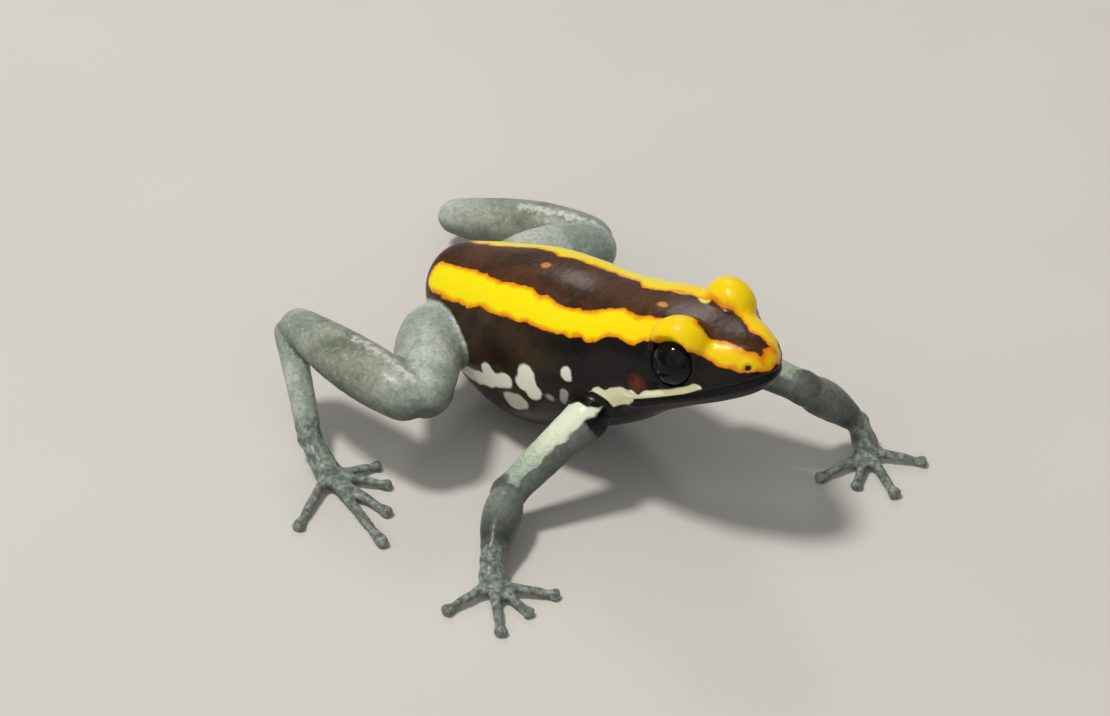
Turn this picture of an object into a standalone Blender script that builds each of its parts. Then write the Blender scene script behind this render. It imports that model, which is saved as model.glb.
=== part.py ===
# Golfo Dulcean poison frog as a still, life-size museum model, sitting with its front raised.
# All sizes below are millimetres. The solids are scaled to metres at the end.
# The frog heads along +X, its left side is +Y, and its toes and fingers rest on z = 0.
import bpy
import bmesh
import math
from mathutils import Matrix, Vector

MM = 0.001

# Body: overall size and the way it sits
SNOUT_VENT = 26.5
BODY_PITCH = math.radians(13.9)
BODY_ROLL = math.radians(3.5)
RUMP_AT = Vector((-10.16, 1.85, 5.6))
FLOOR = 0.0
GAP = 0.3

# Trunk and head along the body axis: station, back height, belly height, level of the widest
# line, half width, and how square the upper and the lower half of the section are
STATIONS = (
    (0.00, 1.85, -0.40, 0.70, 1.05, 2.0, 2.0),
    (0.60, 2.70, -2.20, 0.40, 2.45, 2.1, 2.0),
    (2.20, 2.90, -4.60, -0.20, 3.55, 2.2, 2.1),
    (4.50, 3.15, -6.20, -1.20, 4.40, 2.2, 2.3),
    (7.50, 3.40, -6.90, -1.70, 5.00, 2.2, 2.4),
    (10.5, 3.25, -6.75, -1.80, 4.95, 2.2, 2.4),
    (13.5, 2.85, -6.10, -1.70, 4.60, 2.3, 2.3),
    (16.5, 2.95, -5.05, -1.40, 4.25, 2.4, 2.2),
    (19.0, 3.02, -3.65, -1.00, 4.10, 2.6, 2.2),
    (21.5, 2.75, -2.65, -0.60, 3.55, 2.8, 2.4),
    (23.5, 2.28, -2.10, -0.35, 2.80, 2.8, 2.5),
    (25.1, 1.88, -1.60, -0.05, 1.95, 2.5, 2.4),
    (26.0, 1.45, -1.05, 0.15, 1.10, 2.2, 2.2),
    (26.5, 0.85, -0.20, 0.35, 0.30, 2.0, 2.0),
)
BODY_RINGS = 60
BODY_SIDES = 44
NECK_X = 17.4

# Eyes, in the body frame of the left side: ball, dome of the upper lid, half angle of the opening
# between the lids as seen from the ball's middle, and the rim of the lids round it
EYE_RADIUS = 1.60
EYE_AT = Vector((21.3, 2.42, 0.82))
EYE_LOOK = Vector((0.20, 0.93, 0.30)).normalized()
EYE_GAP = 0.22
LID_SIZE = Vector((1.85, 1.45, 1.60))
LID_AT = Vector((21.6, 2.30, 2.06))
LID_TURN = math.radians(-18)
OPENING = math.radians(62)
OPENING_FROM = 0.55
OPENING_REACH = 3.0
OPENING_NEAR = 1.46
OPENING_FLARE = math.radians(25)
RIM_RADIUS = 0.22
RIM_FROM_MIDDLE = 1.82
RIM_SEGMENTS = 24
RIM_SIDES = 10

# Mouth, lips, nostrils and eardrums
MOUTH_FRONT = Vector((26.25, 0.0, -0.25))
MOUTH_CORNER = Vector((18.3, 0.0, -1.75))
MOUTH_BOW = 1.15
MOUTH_RADIUS = 0.16
MOUTH_STEPS = 13
MOUTH_SIDES = 6
MOUTH_RINGS = 28
LIP_SIDES = 8
LIP_RADIUS = 0.36
LIP_DEPTH = 0.20
UPPER_LIP = 0.42
LOWER_LIP = -0.46
NOSTRIL_AT = Vector((25.60, 1.33, 0.60))
NOSTRIL_RADIUS = 0.24
DRUM_AT = Vector((18.75, 4.12, -0.42))
DRUM_LOOK = Vector((0, 1, 0))
DRUM_RING = 0.62
DRUM_RADIUS = 0.24

# Limb bones: length, heading and rise in degrees, from the body outwards
THIGH = 10.2
SHANK = 12.0
TARSUS = 7.6
HUMERUS = 7.6
FOREARM = 5.2
HIP = Vector((1.6, 2.4, -0.9))
SHOULDER = Vector((15.6, 3.9, -2.7))
LEG_POSE = {
    "right": ((THIGH, -53.7, 5.7), (SHANK, 176.9, 1.5), (TARSUS, -33.1, -37.8)),
    "left": ((THIGH, 85.6, -11.0), (SHANK, -162.0, -4.6), (TARSUS, 49.5, -7.0)),
}
ARM_POSE = {
    "right": ((HUMERUS, -107.9, -33.0), (FOREARM, -59.0, -12.0)),
    "left": ((HUMERUS, 20.5, -11.5), (FOREARM, 64.0, -44.0)),
}

# Limb thickness as radii from the near end to the far end
THIGH_RADII = (1.95, 2.22, 2.12, 1.85, 1.50)
SHANK_RADII = (1.40, 1.75, 1.75, 1.45, 1.00)
TARSUS_RADII = (0.98, 0.90, 0.84, 0.80, 0.80)
HUMERUS_RADII = (1.50, 1.30, 1.16, 1.08, 1.00)
FOREARM_RADII = (1.00, 1.18, 1.12, 0.90, 0.70)
ELBOW_RADIUS = 1.08
WRIST_RADIUS = 0.76
ANKLE_RADIUS = 0.80
LIMB_SIDES = 14
LIMB_RINGS = 18
THIN_SIDES = 12
THIN_RINGS = 14

# How far the middle of each limb part bows out of the straight line of its bone
THIGH_BOW = Vector((-0.5, 0, 0.15))
SHANK_BOW = Vector((0, 0.25, 0.1))
TARSUS_BOW = Vector((0, 0, 0.1))
HUMERUS_BOW = Vector((0, 0, 0.12))
FOREARM_BOW = Vector((0, 0.12, 0.05))

# Digits: length from the wrist or ankle, angle off the hand or foot towards its inner side,
# and radius, listed from the inner digit outwards
DIGIT_SIDES = 9
DIGIT_RINGS = 13
DIGIT_FLAT = 0.88
FINGERS = ((4.5, 62.0, 0.33), (4.5, 30.0, 0.32), (5.7, 4.0, 0.34), (4.6, -40.0, 0.32))
TOES = ((4.4, 52.0, 0.31), (5.8, 33.0, 0.32), (7.6, 14.0, 0.33), (9.9, 1.3, 0.34), (7.2, -32.0, 0.32))
FINGER_PAD = 0.46
TOE_PAD = 0.43
PALM_LENGTH = 1.7
SOLE_LENGTH = 3.0
PALM_WIDTH = 0.88
SOLE_WIDTH = 0.86
PALM_FLAT = 0.72

# Heights of a hand or foot above the floor: ball, digit root, knuckle, last joint and tip
BALL_Z = 0.62
ROOT_Z = 0.55
KNUCKLE_Z = 0.47
LAST_JOINT_Z = 0.31
TIP_Z = 0.25
HAND_HEADING = {"right": -46.0, "left": -22.0}
FOOT_HEADING = {"right": -20.7, "left": -19.0}
TOE_SPREAD = {"right": 1.0, "left": 0.45}

# Fineness of the skin
BODY_VOXEL = 0.22
LIMB_VOXEL = 0.16
SMOOTH_ROUNDS = 4
BODY_TRIANGLES = 3700
LEG_TRIANGLES = 1650
ARM_TRIANGLES = 1250

# Radii of the thin discs that part the limbs at their joints, and the margin at the neck
KNEE_SLIT = 6.2
HEEL_SLIT = 7.6
ANKLE_SLIT = 1.5
ELBOW_SLIT = 1.9
WRIST_SLIT = 1.4
SLIT_SEGMENTS = 24
NECK_MARGIN = 0.35
NECK_SIDES = 28
FLOOR_BLOCK = Vector((80, 80, 6))

# Colours and roughness of each kind of node, and the names that each kind covers
COLOURS = {
    "head": ((0.055, 0.030, 0.018, 1.0), 0.35),
    "torso": ((0.040, 0.026, 0.018, 1.0), 0.38),
    "eye": ((0.008, 0.007, 0.006, 1.0), 0.08),
    "limb": ((0.22, 0.29, 0.27, 1.0), 0.50),
    "digit": ((0.10, 0.13, 0.13, 1.0), 0.50),
}
COLOUR_USE = {
    "head": ("head",),
    "torso": ("torso",),
    "eye": ("eye",),
    "limb": ("thigh", "shank", "tarsus", "upper_arm", "forearm"),
    "digit": ("hand", "foot"),
}

BODY_TURN = Matrix.Rotation(-BODY_PITCH, 3, "Y") @ Matrix.Rotation(BODY_ROLL, 3, "X")


def clear_scene():
    for item in list(bpy.data.objects):
        bpy.data.objects.remove(item)


def curve_value(keys, column, at):
    """Value of one column of a table of stations, on a smooth curve through them."""
    last = len(keys) - 1
    i = 0
    while i < last - 1 and keys[i + 1][0] < at:
        i += 1
    x0, x1 = keys[i][0], keys[i + 1][0]
    t = min(1.0, max(0.0, (at - x0) / (x1 - x0)))
    y0, y1 = keys[i][column], keys[i + 1][column]
    before, after = keys[max(i - 1, 0)], keys[min(i + 2, last)]
    slope0 = (y1 - before[column]) / (x1 - before[0]) * (x1 - x0)
    slope1 = (after[column] - y0) / (after[0] - x0) * (x1 - x0)
    square, cube = t * t, t * t * t
    return ((2 * cube - 3 * square + 1) * y0 + (cube - 2 * square + t) * slope0
            + (3 * square - 2 * cube) * y1 + (cube - square) * slope1)


def body_section(x, angle):
    """Point of the body's surface in its own frame, at a station and an angle round it."""
    top, bottom, level, half, square_up, square_down = (
        curve_value(STATIONS, column, x) for column in range(1, 7))
    power = square_up if math.sin(angle) > 0 else square_down
    height = (top - level) if math.sin(angle) > 0 else (level - bottom)
    c, s = math.cos(angle), math.sin(angle)
    y = half * math.copysign(abs(c) ** (2 / power), c)
    z = level + height * math.copysign(abs(s) ** (2 / power), s)
    return Vector((x, y, z))


def to_world(point):
    """Body frame to world frame: the body leans to its right a little and pitches up."""
    return BODY_TURN @ point + RUMP_AT


def mirrored(point, side):
    return Vector((point.x, point.y if side == "left" else -point.y, point.z))


def along(start, length, heading, rise):
    h, r = math.radians(heading), math.radians(rise)
    return start + length * Vector((math.cos(h) * math.cos(r), math.sin(h) * math.cos(r), math.sin(r)))


def chain(start, bones):
    joints = [start]
    for length, heading, rise in bones:
        joints.append(along(joints[-1], length, heading, rise))
    return joints


def mesh_object(name, bm):
    bmesh.ops.recalc_face_normals(bm, faces=bm.faces)
    if bm.calc_volume(signed=True) < 0:
        bmesh.ops.reverse_faces(bm, faces=bm.faces)
    mesh = bpy.data.meshes.new(name)
    bm.to_mesh(mesh)
    bm.free()
    item = bpy.data.objects.new(name, mesh)
    bpy.context.scene.collection.objects.link(item)
    return item


def loft(name, rings, endless=False):
    """Closed skin through rings of points, with a fan at each end unless it runs back on itself."""
    bm = bmesh.new()
    loops = [[bm.verts.new(p) for p in ring] for ring in rings]
    count = len(loops[0])
    following = loops[1:] + loops[:1] if endless else loops[1:]
    for a, b in zip(loops, following):
        for i in range(count):
            j = (i + 1) % count
            bm.faces.new((a[i], a[j], b[j], b[i]))
    for ring in () if endless else (loops[0], loops[-1]):
        centre = bm.verts.new(sum((v.co for v in ring), Vector()) / count)
        for i in range(count):
            bm.faces.new((ring[i], ring[(i + 1) % count], centre))
    return mesh_object(name, bm)


def tube(name, points, radii, sides, rings, flatten=1.0):
    """Round-ended tube on a smooth curve through points, with radii eased along it."""
    keys = [(i / (len(points) - 1), p.x, p.y, p.z) for i, p in enumerate(points)]
    sizes = [(i / (len(radii) - 1), r) for i, r in enumerate(radii)]

    def spot(t):
        return Vector([curve_value(keys, k, t) for k in (1, 2, 3)])

    length = sum((b - a).length for a, b in zip(points, points[1:]))
    loops = []
    for n in range(rings):
        u = 0.5 - 0.5 * math.cos(math.pi * (n + 0.35) / (rings - 0.3))
        centre = spot(u)
        ahead = (spot(min(1.0, u + 0.02)) - spot(max(0.0, u - 0.02))).normalized()
        side = ahead.cross(Vector((0, 0, 1)))
        side = side.normalized() if side.length > 0.05 else ahead.orthogonal().normalized()
        over = side.cross(ahead)
        radius = curve_value(sizes, 1, u)
        end = min(u, 1 - u) * length
        if end < radius:
            radius *= math.sqrt(max(0.02, 1 - (1 - end / radius) ** 2))
        loops.append([centre + radius * (math.cos(a) * side + flatten * math.sin(a) * over)
                      for a in (2 * math.pi * k / sides for k in range(sides))])
    return loft(name, loops)


def ellipsoid(name, centre, size, turn=None, rings=12, sides=18):
    bm = bmesh.new()
    bmesh.ops.create_uvsphere(bm, u_segments=sides, v_segments=rings, radius=1.0)
    shape = (turn or Matrix.Identity(3)) @ Matrix.Diagonal(size)
    for vertex in bm.verts:
        vertex.co = shape @ vertex.co + centre
    return mesh_object(name, bm)


def bent(points, bow):
    """A straight bone's two joints with a middle point pushed aside."""
    return [points[0], (points[0] + points[1]) / 2 + bow, points[1]]


def hand_or_foot(name, start, heading, side, palm, digits, pad, width, spread=1.0):
    """Palm or sole with its spread digits, lying on the floor."""
    inner = -1 if side == "left" else 1
    ball = along(Vector((start.x, start.y, 0)), palm, heading, 0)
    ball.z = BALL_Z
    pieces = [tube(name + "_palm", bent((start, ball), Vector((0, 0, -0.1))),
                   (width * 0.82, width * 0.95, width * 1.05), THIN_SIDES, THIN_RINGS, PALM_FLAT)]
    for number, (length, angle, radius) in enumerate(digits):
        turn = heading + inner * angle * spread
        tip = along(Vector((start.x, start.y, 0)), length, turn, 0)
        tip.z = TIP_Z
        across = math.radians(heading + inner * 90)
        offset = (angle / 60.0) * width * 0.55
        root = ball + offset * Vector((math.cos(across), math.sin(across), 0)) - 0.1 * (ball - start)
        root.z = ROOT_Z
        knuckle = root.lerp(tip, 0.42)
        knuckle.z = KNUCKLE_Z
        near = root.lerp(tip, 0.78)
        near.z = LAST_JOINT_Z
        radii = (radius * 1.25, radius * 1.08, radius, radius * 0.98, radius * 0.92, pad, pad * 0.95)
        pieces.append(tube("%s_digit_%d" % (name, number + 1), [root, knuckle, near, tip], radii,
                           DIGIT_SIDES, DIGIT_RINGS, DIGIT_FLAT))
    return pieces


def joined(pieces, name):
    """All pieces as one closed solid."""
    group = bpy.data.collections.new(name + "_pieces")
    for piece in pieces[1:]:
        group.objects.link(piece)
    base = pieces[0]
    union = base.modifiers.new("Union", "BOOLEAN")
    union.operation = "UNION"
    union.operand_type = "COLLECTION"
    union.collection = group
    union.solver = "EXACT"
    apply_modifiers(base)
    for piece in pieces[1:]:
        bpy.data.objects.remove(piece)
    bpy.data.collections.remove(group)
    base.name = name
    return base


def cut_away(base, pieces):
    """Takes all pieces out of the base."""
    group = bpy.data.collections.new("cutters")
    for piece in pieces:
        group.objects.link(piece)
    cut = base.modifiers.new("Cut", "BOOLEAN")
    cut.operation = "DIFFERENCE"
    cut.operand_type = "COLLECTION"
    cut.collection = group
    cut.solver = "EXACT"
    apply_modifiers(base)
    for piece in pieces:
        bpy.data.objects.remove(piece)
    bpy.data.collections.remove(group)


def apply_modifiers(item):
    graph = bpy.context.evaluated_depsgraph_get()
    mesh = bpy.data.meshes.new_from_object(item.evaluated_get(graph))
    item.modifiers.clear()
    item.data = mesh


def refine(item, voxel, triangles):
    """Even skin over the joined pieces, smoothed and thinned to a triangle budget."""
    remesh = item.modifiers.new("Even", "REMESH")
    remesh.mode = "VOXEL"
    remesh.voxel_size = voxel
    smooth = item.modifiers.new("Smooth", "SMOOTH")
    smooth.factor = 0.5
    smooth.iterations = SMOOTH_ROUNDS
    apply_modifiers(item)
    item.data.calc_loop_triangles()
    thin = item.modifiers.new("Thin", "DECIMATE")
    thin.ratio = triangles / len(item.data.loop_triangles)
    thin.use_collapse_triangulate = True
    apply_modifiers(item)


def frame_of(direction):
    """Rotation whose Z axis points along a direction."""
    return direction.to_track_quat("Z", "Y").to_matrix()


def slit(name, centre, direction, radius):
    """Thin disc that parts two neighbours face to face."""
    bm = bmesh.new()
    bmesh.ops.create_cone(bm, cap_ends=True, segments=SLIT_SEGMENTS, radius1=radius, radius2=radius,
                          depth=GAP)
    turn = frame_of(direction)
    for vertex in bm.verts:
        vertex.co = turn @ vertex.co + centre
    return mesh_object(name, bm)


def ring_round(name, centre, axis, ring, radius):
    """Ring of flesh round an axis, both given in the body frame."""
    turn = frame_of(axis)
    rings = []
    for k in range(RIM_SEGMENTS):
        around = 2 * math.pi * k / RIM_SEGMENTS
        out = turn @ Vector((math.cos(around), math.sin(around), 0))
        section = [2 * math.pi * m / RIM_SIDES for m in range(RIM_SIDES)]
        rings.append([to_world(centre + out * (ring + radius * math.cos(a)) + axis * radius * math.sin(a))
                      for a in section])
    return loft(name, rings, endless=True)


def lid_domes():
    pieces = []
    for side in ("left", "right"):
        lid = ellipsoid("lid_" + side, Vector(), Vector((1, 1, 1)), rings=14, sides=20)
        turn = Matrix.Rotation(LID_TURN if side == "left" else -LID_TURN, 3, "Z")
        for vertex in lid.data.vertices:
            vertex.co = to_world(mirrored(LID_AT, side) + turn @ Vector(vertex.co * LID_SIZE))
        pieces.append(lid)
    return pieces


def lid_openings():
    """Cut-off cones from inside each ball, which open the lids over what the eye shows."""
    depth = OPENING_REACH - OPENING_FROM
    pieces = []
    for side in ("left", "right"):
        bm = bmesh.new()
        bmesh.ops.create_cone(bm, cap_ends=True, segments=SLIT_SEGMENTS, radius1=OPENING_NEAR,
                              radius2=OPENING_NEAR + depth * math.tan(OPENING_FLARE), depth=depth)
        turn = frame_of(mirrored(EYE_LOOK, side))
        for vertex in bm.verts:
            along_look = turn @ (vertex.co + Vector((0, 0, OPENING_FROM + depth / 2)))
            vertex.co = to_world(mirrored(EYE_AT, side) + along_look)
        pieces.append(mesh_object("opening_" + side, bm))
    return pieces


def head_pieces():
    """Rims of the lids round the eyes, eardrum rings and lips."""
    pieces = []
    for side in ("left", "right"):
        look = mirrored(EYE_LOOK, side)
        middle = mirrored(EYE_AT, side) + look * RIM_FROM_MIDDLE * math.cos(OPENING)
        ring = RIM_FROM_MIDDLE * math.sin(OPENING)
        pieces.append(ring_round("rim_" + side, middle, look, ring, RIM_RADIUS))
        pieces.append(ring_round("eardrum_" + side, mirrored(DRUM_AT, side), mirrored(DRUM_LOOK, side),
                                 DRUM_RING, DRUM_RADIUS))
    for name, lift in (("upper_lip", UPPER_LIP), ("lower_lip", LOWER_LIP)):
        pieces.append(tube(name, mouth_line(lift, LIP_DEPTH), (LIP_RADIUS,) * 3, LIP_SIDES, MOUTH_RINGS))
    return pieces


def surface_at(x, z):
    """Half width of the body where its skin stands at a height, in the body frame."""
    low, high = -math.pi / 2, math.pi / 2
    for _ in range(30):
        middle = (low + high) / 2
        if body_section(x, middle).z < z:
            low = middle
        else:
            high = middle
    return body_section(x, low).y


def mouth_line(lift, inset):
    """Points of the mouth from the right corner round the snout to the left, raised and sunk in."""
    run = MOUTH_FRONT - MOUTH_CORNER
    half = []
    for n in range(MOUTH_STEPS):
        ahead = math.sin(n / (MOUTH_STEPS - 1) * math.pi / 2)
        x = MOUTH_CORNER.x + run.x * ahead
        z = MOUTH_FRONT.z - run.z * (1 - ahead) ** MOUTH_BOW + lift
        half.append(Vector((x - inset * ahead, max(surface_at(x, z) - inset, 0), z)))
    half[-1].y = 0.0
    right = [mirrored(p, "right") for p in half]
    return [to_world(p) for p in right + half[-2::-1]]


def body_loft(name, grow):
    """Trunk and head, swollen by a margin."""
    angles = [2 * math.pi * k / BODY_SIDES for k in range(BODY_SIDES)]
    rings = []
    for n in range(BODY_RINGS):
        x = SNOUT_VENT * (0.5 - 0.5 * math.cos(math.pi * n / (BODY_RINGS - 1)))
        ring = []
        for a in angles:
            point = body_section(x, a)
            if grow:
                point += grow * outward(x, a)
            ring.append(to_world(point))
        rings.append(ring)
    return loft(name, rings)


def outward(x, angle):
    """Unit normal of the body's surface, in its own frame."""
    step = 0.02
    inner = min(max(x, 2 * step), SNOUT_VENT - 2 * step)
    ahead = body_section(inner + step, angle) - body_section(inner - step, angle)
    around = body_section(inner, angle + step) - body_section(inner, angle - step)
    return around.cross(ahead).normalized()


def make_leg(side):
    """Thigh, shank, tarsus and foot as one closed solid, with the joints of the leg."""
    hip, knee, heel, ankle = chain(to_world(mirrored(HIP, side)), LEG_POSE[side])
    pieces = [
        tube("thigh", bent((hip, knee), THIGH_BOW), THIGH_RADII, LIMB_SIDES, LIMB_RINGS),
        tube("shank", bent((knee, heel), mirrored(SHANK_BOW, side)), SHANK_RADII, LIMB_SIDES, LIMB_RINGS),
        tube("tarsus", bent((heel, ankle), TARSUS_BOW), TARSUS_RADII, THIN_SIDES, THIN_RINGS),
    ]
    pieces.append(ellipsoid("ankle", ankle, Vector((ANKLE_RADIUS,) * 3)))
    pieces += hand_or_foot("foot", ankle, FOOT_HEADING[side], side, SOLE_LENGTH, TOES, TOE_PAD, SOLE_WIDTH,
                           TOE_SPREAD[side])
    return joined(pieces, "leg_" + side), (hip, knee, heel, ankle)


def make_arm(side):
    """Upper arm, forearm and hand as one closed solid, with the joints of the arm."""
    shoulder, elbow, wrist = chain(to_world(mirrored(SHOULDER, side)), ARM_POSE[side])
    pieces = [
        tube("upper_arm", bent((shoulder, elbow), HUMERUS_BOW), HUMERUS_RADII, THIN_SIDES, THIN_RINGS),
        tube("forearm", bent((elbow, wrist), mirrored(FOREARM_BOW, side)), FOREARM_RADII,
             THIN_SIDES, THIN_RINGS),
        ellipsoid("elbow", elbow, Vector((ELBOW_RADIUS,) * 3)),
        ellipsoid("wrist", wrist, Vector((WRIST_RADIUS,) * 3)),
    ]
    pieces += hand_or_foot("hand", wrist, HAND_HEADING[side], side, PALM_LENGTH, FINGERS, FINGER_PAD,
                           PALM_WIDTH)
    return joined(pieces, "arm_" + side), (shoulder, elbow, wrist)


def joint_slit(name, before, joint, after, radius):
    """Thin disc across a bent joint, square to the line that halves its angle."""
    way_in = (joint - before).normalized()
    way_out = (after - joint).normalized()
    return slit(name, joint, way_in + way_out, radius)


def islands(item):
    """The separate closed surfaces of a mesh, largest first."""
    bm = bmesh.new()
    bm.from_mesh(item.data)
    bm.verts.ensure_lookup_table()
    seen = set()
    groups = []
    for start in bm.verts:
        if start.index in seen:
            continue
        stack, group = [start], []
        seen.add(start.index)
        while stack:
            vertex = stack.pop()
            group.append(vertex)
            for edge in vertex.link_edges:
                other = edge.other_vert(vertex)
                if other.index not in seen:
                    seen.add(other.index)
                    stack.append(other)
        groups.append(group)
    found = []
    for group in groups:
        keep = {v.index for v in group}
        piece = bmesh.new()
        made = {v.index: piece.verts.new(v.co) for v in group}
        for face in bm.faces:
            if face.verts[0].index in keep:
                piece.faces.new([made[v.index] for v in face.verts])
        found.append((abs(piece.calc_volume()), piece))
    bm.free()
    found.sort(key=lambda pair: -pair[0])
    return found


def split_nodes(item, centres):
    """Names the closed pieces of an object after the nearest of some named centres."""
    nodes = {}
    for volume, piece in islands(item):
        middle = sum((v.co for v in piece.verts), Vector()) / len(piece.verts)
        name = min(centres, key=lambda key: (centres[key] - middle).length)
        if name in nodes:
            piece.free()
            continue
        nodes[name] = node_object(name, piece, middle)
    bpy.data.objects.remove(item)
    return nodes


def node_object(name, bm, middle):
    """A finished node in metres, with its origin in its middle."""
    bmesh.ops.triangulate(bm, faces=bm.faces)
    for vertex in bm.verts:
        vertex.co = (vertex.co - middle) * MM
    item = mesh_object(name, bm)
    item.location = middle * MM
    for face in item.data.polygons:
        face.use_smooth = True
    return item


def floor_block():
    bm = bmesh.new()
    bmesh.ops.create_cube(bm, size=1.0)
    for vertex in bm.verts:
        vertex.co = (vertex.co - Vector((0, 0, 0.5))) * FLOOR_BLOCK + Vector((0, 0, FLOOR))
    return mesh_object("floor_block", bm)


def neck_slit():
    """Thin slab that follows the outline of the neck."""
    angles = [2 * math.pi * k / NECK_SIDES for k in range(NECK_SIDES)]
    rings = []
    for x in (NECK_X - GAP / 2, NECK_X + GAP / 2):
        rings.append([to_world(body_section(x, a) + NECK_MARGIN * outward(x, a)) for a in angles])
    return loft("neck_slit", rings)


def make_eye(side):
    """Ball with its poles along the way it looks."""
    bm = bmesh.new()
    bmesh.ops.create_uvsphere(bm, u_segments=20, v_segments=12, radius=EYE_RADIUS)
    turn = frame_of(mirrored(EYE_LOOK, side))
    centre = mirrored(EYE_AT, side)
    for vertex in bm.verts:
        vertex.co = to_world(centre + turn @ vertex.co)
    return node_object("eye_" + side, bm, to_world(centre))


def make_node_material(name, colour, roughness):
    material = bpy.data.materials.new(name)
    material.use_nodes = True
    shader = material.node_tree.nodes["Principled BSDF"]
    shader.inputs["Base Color"].default_value = colour
    shader.inputs["Roughness"].default_value = roughness
    shader.inputs["Metallic"].default_value = 0.0
    return material


def body_nodes():
    """Head and torso, with sockets, nostrils, mouth and neck slit cut."""
    body = joined([body_loft("body", 0.0)] + lid_domes(), "body")
    cut_away(body, lid_openings())
    body = joined([body] + head_pieces(), "body")
    refine(body, BODY_VOXEL, BODY_TRIANGLES)
    cuts = [tube("mouth", mouth_line(0.0, 0.0), (MOUTH_RADIUS,) * 3, MOUTH_SIDES, MOUTH_RINGS),
            neck_slit(), floor_block()]
    for side in ("left", "right"):
        cuts.append(ellipsoid("socket", to_world(mirrored(EYE_AT, side)),
                              Vector((1, 1, 1)) * (EYE_RADIUS + EYE_GAP), rings=10, sides=18))
        cuts.append(ellipsoid("nostril", to_world(mirrored(NOSTRIL_AT, side)),
                              Vector((1, 1, 1)) * NOSTRIL_RADIUS, rings=8, sides=10))
    cut_away(body, cuts)
    middles = {"head": to_world(Vector((22, 0, 0))), "torso": to_world(Vector((8, 0, -1.5)))}
    return split_nodes(body, middles)


def leg_nodes(side):
    """Thigh, shank, tarsus and foot, parted from the trunk and from each other."""
    leg, (hip, knee, heel, ankle) = make_leg(side)
    refine(leg, LIMB_VOXEL, LEG_TRIANGLES)
    ball = along(ankle, SOLE_LENGTH, FOOT_HEADING[side], 0)
    ball.z = BALL_Z
    cut_away(leg, [body_loft("body_room", GAP), floor_block(),
                   joint_slit("knee_slit", hip, knee, heel, KNEE_SLIT),
                   joint_slit("heel_slit", knee, heel, ankle, HEEL_SLIT),
                   joint_slit("ankle_slit", heel, ankle, ball, ANKLE_SLIT)])
    return split_nodes(leg, {
        "thigh_" + side: hip.lerp(knee, 0.5), "shank_" + side: knee.lerp(heel, 0.5),
        "tarsus_" + side: heel.lerp(ankle, 0.5), "foot_" + side: ball})


def arm_nodes(side):
    """Upper arm, forearm and hand, parted from the trunk and from each other."""
    arm, (shoulder, elbow, wrist) = make_arm(side)
    refine(arm, LIMB_VOXEL, ARM_TRIANGLES)
    palm = along(wrist, PALM_LENGTH, HAND_HEADING[side], 0)
    palm.z = BALL_Z
    cut_away(arm, [body_loft("body_room", GAP), floor_block(),
                   joint_slit("elbow_slit", shoulder, elbow, wrist, ELBOW_SLIT),
                   joint_slit("wrist_slit", elbow, wrist, palm, WRIST_SLIT)])
    return split_nodes(arm, {
        "upper_arm_" + side: shoulder.lerp(elbow, 0.5), "forearm_" + side: elbow.lerp(wrist, 0.5),
        "hand_" + side: palm})


def main():
    clear_scene()
    nodes = body_nodes()
    for side in ("left", "right"):
        nodes.update(leg_nodes(side))
        nodes.update(arm_nodes(side))
        nodes["eye_" + side] = make_eye(side)
    root = bpy.data.objects.new("frog", None)
    bpy.context.scene.collection.objects.link(root)
    for name, item in nodes.items():
        item.parent = root
        kind = next(key for key in COLOURS if name.startswith(COLOUR_USE[key]))
        item.data.materials.append(make_node_material(name, *COLOURS[kind]))


main()
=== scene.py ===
# Poison dart frog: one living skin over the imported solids, glossy eyes, a soft studio.
# Shapes are worked out in millimetres in the frog's own frames and set down in metres.
import math
from collections import namedtuple
import bpy
import bmesh
import numpy as np
from mathutils import Matrix, Vector, noise


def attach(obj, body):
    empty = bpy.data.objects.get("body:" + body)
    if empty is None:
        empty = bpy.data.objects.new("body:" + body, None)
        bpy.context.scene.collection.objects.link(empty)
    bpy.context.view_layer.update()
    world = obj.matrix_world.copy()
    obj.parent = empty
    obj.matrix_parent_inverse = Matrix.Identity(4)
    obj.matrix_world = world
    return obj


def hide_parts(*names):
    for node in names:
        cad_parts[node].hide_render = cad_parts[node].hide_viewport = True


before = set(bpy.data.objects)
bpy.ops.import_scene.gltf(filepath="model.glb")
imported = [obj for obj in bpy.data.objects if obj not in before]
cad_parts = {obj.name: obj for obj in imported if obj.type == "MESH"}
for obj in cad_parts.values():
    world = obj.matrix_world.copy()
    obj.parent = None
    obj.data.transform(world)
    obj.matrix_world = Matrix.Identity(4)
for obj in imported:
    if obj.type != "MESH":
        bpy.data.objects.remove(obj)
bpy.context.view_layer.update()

MM = 0.001
SIDES = ("left", "right")

# How the animal sits: rump's place, nose up and a little leaning to its right
SNOUT_VENT = 26.5
BODY_PITCH = math.radians(13.9)
BODY_ROLL = math.radians(3.5)
RUMP_AT = Vector((-10.16, 1.85, 5.6))
BODY_TURN = Matrix.Rotation(-BODY_PITCH, 3, "Y") @ Matrix.Rotation(BODY_ROLL, 3, "X")

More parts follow.
